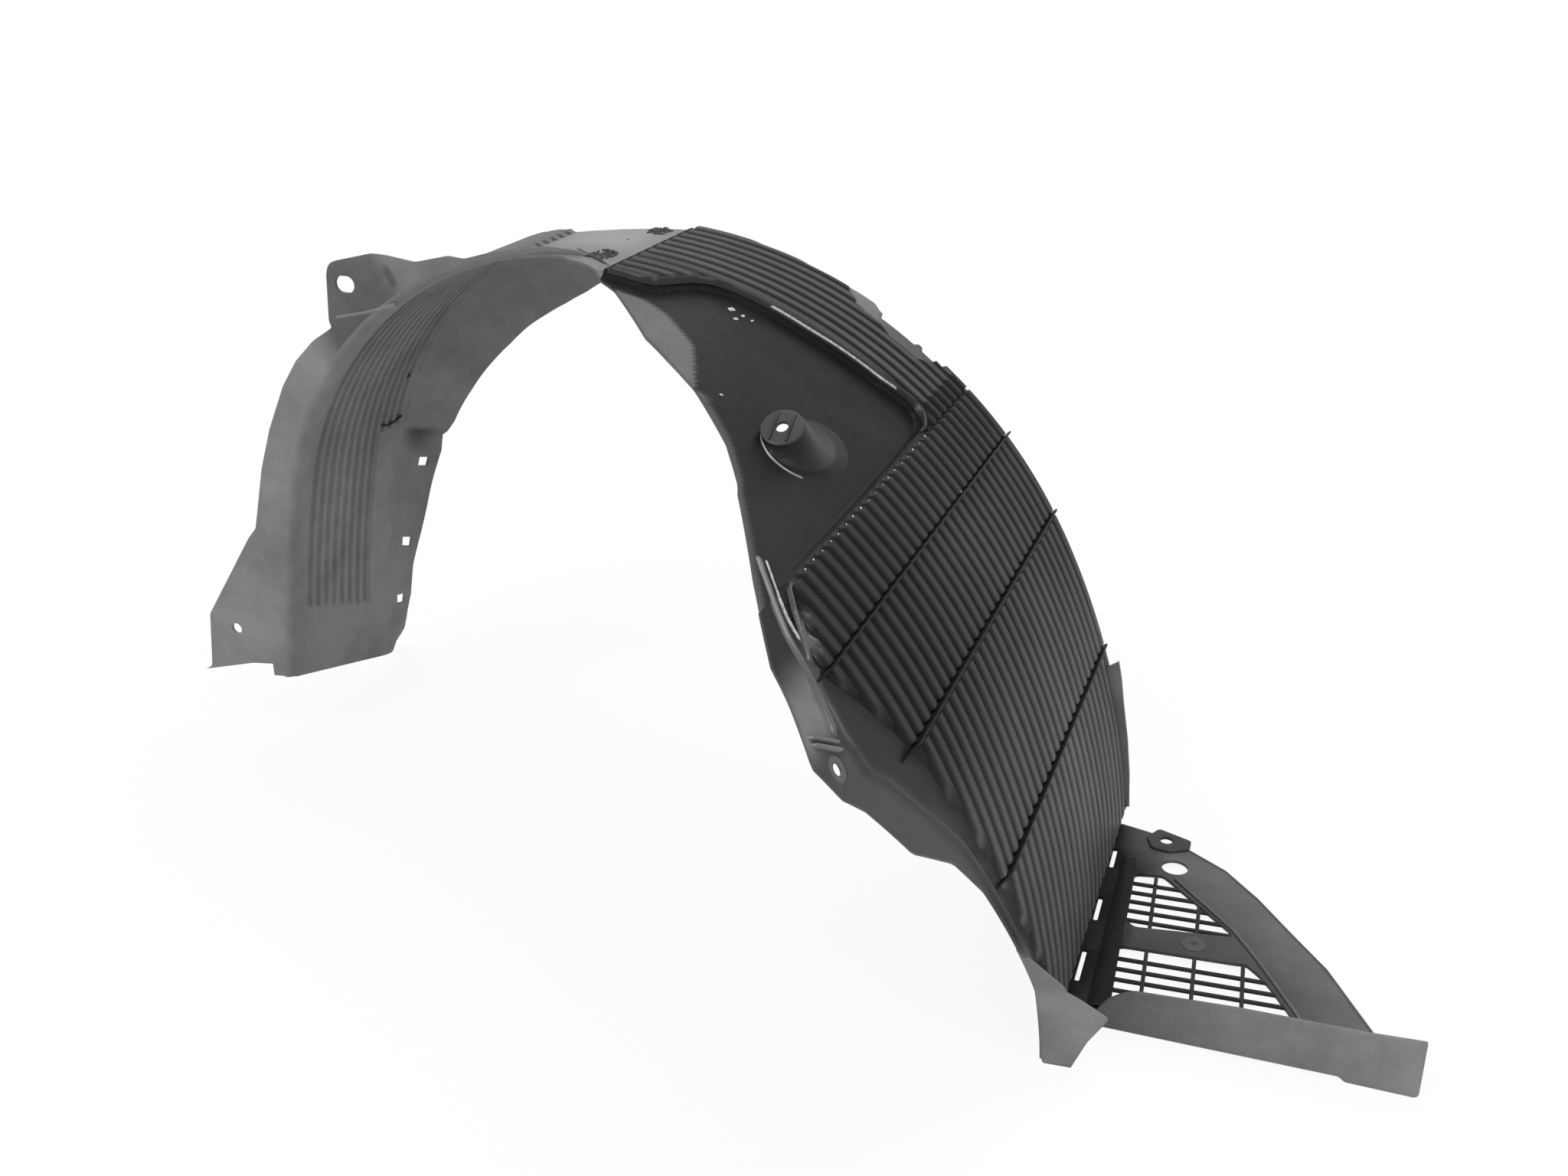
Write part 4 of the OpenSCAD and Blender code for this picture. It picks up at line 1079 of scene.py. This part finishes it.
class LINER_OT_toe(Operator):
    """Upright strip beside the grille and the flange that hangs at the toe"""

    bl_idname = "liner.toe"
    bl_label = "Strip and toe flange"

    def execute(self, context):
        make = Maker(context)
        arch, wall = make.arch, make.wall
        fx, x0, x1, high = arch.fold_x, arch.fold_x + 29, arch.grille_x - 4.2, 39
        strip = [
            (x0 - 4, PANEL_Z - 2), (x0 - 7, PANEL_Z + 5), (x0 - 6.5, 14), (x0 - 1, 22), (x0 + 7, 28),
            (x0 + 14, 31), (x0 + 73, high - 4), (x0 + 147, high - 2), (x1 - 0.4, high), (x1, 2), (x1 - 2, 0),
            (x1 - 40, 0), (x1 - 44, PANEL_Z),
        ]
        tone = lambda p: 0.5 + 0.42 * ease((p[:, 0] - x0 - 10) / 160)
        make.slab("strip", [eased(strip, 1.2)], lambda a, b: (a, STRIP_Y, b), (0, wall, 0), tone)
        # The flange spans from the leg's near edge to an edge of its own, then down to the floor
        s = np.linspace(0, 1, 40)
        bend = 0.78
        turns = np.interp(s, (0, bend), (76.4, arch.toe_end))
        left = arch.xyz(turns, -3.2, near_edge(turns) - 0.3)
        toe = np.array([fx - 1, float(near_edge(arch.toe_end)) - 1, 0.5])
        low = s > bend
        left[low] = left[~low][-1] + (toe - left[~low][-1]) * ((s[low] - bend) / (1 - bend))[:, None]
        edge = [left[0], (fx + 9.6, -192, 53.3), (fx + 33.8, -191, 39.7), (fx + 23, -191, 21)]
        edge.append((fx + 15, -191, 0.5))
        right = np.stack([np.interp(s, (0, 0.3, 0.62, 0.8, 1), [p[i] for p in edge]) for i in range(3)], -1)
        v = np.linspace(0, 1, 14)[:, None]
        grid = left[:, None] * (1 - v) + right[:, None] * v
        flange = make.mesh("toe_flange", grid.reshape(-1, 3), grid_faces(len(s), len(v)), 0.82, sharp=50)
        thicken(flange, wall, -1)
        return {"FINISHED"}


class LINER_OT_marks(Operator):
    """Rough moulded patches on the bridge, small pale spots and painted glints at the ribs' ends"""

    bl_idname = "liner.marks"
    bl_label = "Patches and marks"

    def execute(self, context):
        make = Maker(context)
        rng = np.random.default_rng(7)
        points, faces = [], []
        # Two patches of short random dashes, plain texture with no letters
        for t0, y0, wide, deep in ((2.6, -1, 1.35, 15), (3.2, 84, 1.25, 12)):
            for _ in range(84):
                t = t0 + rng.uniform(-wide, wide)
                y = y0 + rng.uniform(-deep, deep)
                if ((t - t0) / wide) ** 2 + ((y - y0) / deep) ** 2 > 1.1:
                    continue
                a, b = rng.uniform(0.13, 0.34), rng.uniform(0.7, 2.0)
                if rng.random() < 0.5:
                    a, b = a * 0.5, b * 1.3
                h = rng.uniform(0.4, 0.9)
                k = len(points)
                for p, q, up in ((1, 1, -0.2), (0.5, 0.6, h)):
                    for i, j in ((-p, -q), (p, -q), (p, q), (-p, q)):
                        points.append(make.arch.xyz(t + i * a, up, y + j * b))
                for f in ((4, 5, 6, 7), (0, 1, 5, 4), (1, 2, 6, 5), (2, 3, 7, 6), (3, 0, 4, 7)):
                    faces.append([k + v for v in f])
        make.mesh("bridge_patches", points, faces, 0.0, 0.1, sharp=80)
        # Small pale spots on the wall, and painted glints at the ribs' ends
        pale = spot_and_glint_material(make.finish)
        points, faces = [], []
        spots = [
            (19.3, -22, 2.4, 3.6, -3.9), (20.6, -34, 1.6, 3, -3.9), (20.8, -24, 1.2, 2.2, -3.9),
            (21.9, -24.5, 1, 2, -3.9), (26.7, -142.6, 1.2, 1.6, -3.7), (49.7, -33.5, 0.9, 1.3, 3.4),
        ]
        # Painted glints at the ribs' ends
        for k in range(2, 20):
            t = 43.3 + rng.uniform(-0.05, 0.1)
            y = RIB_Y - RIB_STEP * k + 4.9 + rng.uniform(-1, 1)
            spots.append((t, y, rng.uniform(0.5, 0.9), rng.uniform(0.7, 1.4), 2.6))
        for t, y, wide, deep, up in spots:
            k = len(points)
            points.append(make.arch.xyz(t, up + 0.35, y))
            for a in np.linspace(0, 2 * math.pi, 9, endpoint=False):
                r = rng.uniform(0.7, 1.15)
                turn = t + math.degrees(wide * r * math.cos(a) / PATH_R)
                points.append(make.arch.xyz(turn, up, y + deep * r * math.sin(a)))
            faces += [[k, k + 1 + i, k + 1 + (i + 1) % 9] for i in range(9)]
        make.mesh("pale_marks", points, faces, 0.5, 0.0, pale, sharp=80)
        # Small dark nicks on the inner face, then the fold and the short dash on the bridge
        long_nick = ((-72.3, 102), (-72.9, 112), (-72.8, 121), (-72.2, 134))
        nicks = (long_nick, 2.4), (((-63.9, 124), (-62.6, 126)), 4.0)
        for k, (knots, wide) in enumerate(nicks):
            make.ridge(f"inner_nick_{k}", along(knots, 12), wide, -2.4, -1.2, 0.15)
        fold = [(-2.4, 13), (-1, 5.5), (0.6, -3), (2.2, -11), (4, -19.5), (6, -28)]
        make.ridge("bridge_fold", fold, 2.6, 1.5, 0.0, 0.0, 0.3)
        make.ridge("bridge_dash", along(((1.9, 45), (1.9, 49.5)), 5), 2.0, 0.6, 0.0, 0.0, 0.1)
        return {"FINISHED"}


class LINER_OT_stage(Operator):
    """Pale floor, soft lights and the camera"""

    bl_idname = "liner.stage"
    bl_label = "Stage"

    def execute(self, context):
        finish = context.scene.liner_finish
        scene = context.scene
        mesh = bpy.data.meshes.new("floor")
        s = 30.0
        mesh.from_pydata([(-s, -s, 0), (s, -s, 0), (s, s, 0), (-s, s, 0)], [], [(0, 1, 2, 3)])
        floor = bpy.data.objects.new("floor", mesh)
        scene.collection.objects.link(floor)
        mat, tree, shader, where = new_material("studio_floor")
        tone = ramp(tree, noise(tree, where, 3.0, 3.0, 0.5), 0.3, 0.7, 0.985, 1.0)
        colour = mixed(tree, "RGBA", tone, (0.9, 0.9, 0.9, 1), (*finish.floor, 1))
        feed(tree, shader, {"Base Color": colour, "Roughness": 0.9, "Specular IOR Level": 0.1})
        # Where it is seen, and more so further off, the floor shows as plain white
        far = add_node(tree, "VectorMath", {0: where}, operation="LENGTH").outputs["Value"]
        seen = maths(tree, "MULTIPLY", watched(tree), ramp(tree, far, 0.35, 0.95, 0.9, 1.0))
        glow = add_node(tree, "Emission", {"Color": (1, 1, 1, 1), "Strength": 1.0}).outputs[0]
        blend = add_node(tree, "MixShader", {0: seen, 1: shader.outputs[0], 2: glow}).outputs[0]
        feed(tree, tree.nodes["Material Output"], {"Surface": blend})
        mesh.materials.append(mat)

        world = bpy.data.worlds.new("studio")
        scene.world = world
        world.use_nodes = True
        tree = world.node_tree
        level = mixed(tree, "FLOAT", watched(tree), 0.5, 1.0)
        feed(tree, tree.nodes["Background"], {"Color": (1, 1, 1, 1), "Strength": level})

        for name, spot, aim, size, power in (
            ("key", (-0.9, -1.6, 2.4), (0.0, 0.0, 0.2), 1.6, 34),
            ("fill", (2.2, -1.2, 1.6), (0.1, 0.0, 0.15), 1.8, 20),
            ("top", (0.3, 0.9, 2.6), (0.0, 0.0, 0.2), 1.8, 26),
        ):
            lamp = bpy.data.lights.new(name, "AREA")
            lamp.size = size
            lamp.energy = power
            obj = bpy.data.objects.new(name, lamp)
            scene.collection.objects.link(obj)
            obj.location = spot
            d = np.array(aim) - np.array(spot)
            tilt = math.atan2(math.hypot(d[0], d[1]), -d[2])
            obj.rotation_euler = (tilt, 0, math.atan2(d[1], d[0]) - math.pi / 2)

        lens = bpy.data.cameras.new("camera")
        lens.sensor_fit = "HORIZONTAL"
        lens.sensor_width = 36.0
        lens.lens = 36.914
        lens.clip_end = 100.0
        camera = bpy.data.objects.new("camera", lens)
        scene.collection.objects.link(camera)
        arch = Arch(scene.liner_sizes)
        camera.location = ((488 - arch.mid[0]) * MM, (-950 - arch.mid[1]) * MM, 634.17 * MM)
        camera.rotation_euler = (math.radians(66.3), 0, math.radians(20))
        scene.camera = camera
        scene.view_settings.view_transform = "Standard"
        return {"FINISHED"}


PIECES = (
    LINER_OT_rear_arch, LINER_OT_near_flange, LINER_OT_crown, LINER_OT_boss, LINER_OT_front_leg,
    LINER_OT_leg_details, LINER_OT_grille_panel, LINER_OT_toe, LINER_OT_marks, LINER_OT_stage,
)


class LINER_PT_panel(Panel):
    """Lists the liner's pieces and settings"""

    bl_idname = "LINER_PT_panel"
    bl_label = "Wheel arch liner"
    bl_space_type = "VIEW_3D"
    bl_region_type = "UI"
    bl_category = "Liner"

    def draw(self, context):
        for group in (context.scene.liner_sizes, context.scene.liner_finish):
            box = self.layout.box()
            for name in group.__annotations__:
                box.prop(group, name)
        for piece in PIECES:
            self.layout.operator(piece.bl_idname)


CLASSES = (LinerSizes, LinerFinish) + PIECES + (LINER_PT_panel,)


def register():
    for cls in CLASSES:
        bpy.utils.register_class(cls)
    bpy.types.Scene.liner_sizes = PointerProperty(type=LinerSizes)
    bpy.types.Scene.liner_finish = PointerProperty(type=LinerFinish)


def unregister():
    del bpy.types.Scene.liner_finish
    del bpy.types.Scene.liner_sizes
    for cls in reversed(CLASSES):
        bpy.utils.unregister_class(cls)


def main():
    register()
    for piece in PIECES:
        group, name = piece.bl_idname.split(".")
        getattr(getattr(bpy.ops, group), name)()


if __name__ == "__main__":
    main()
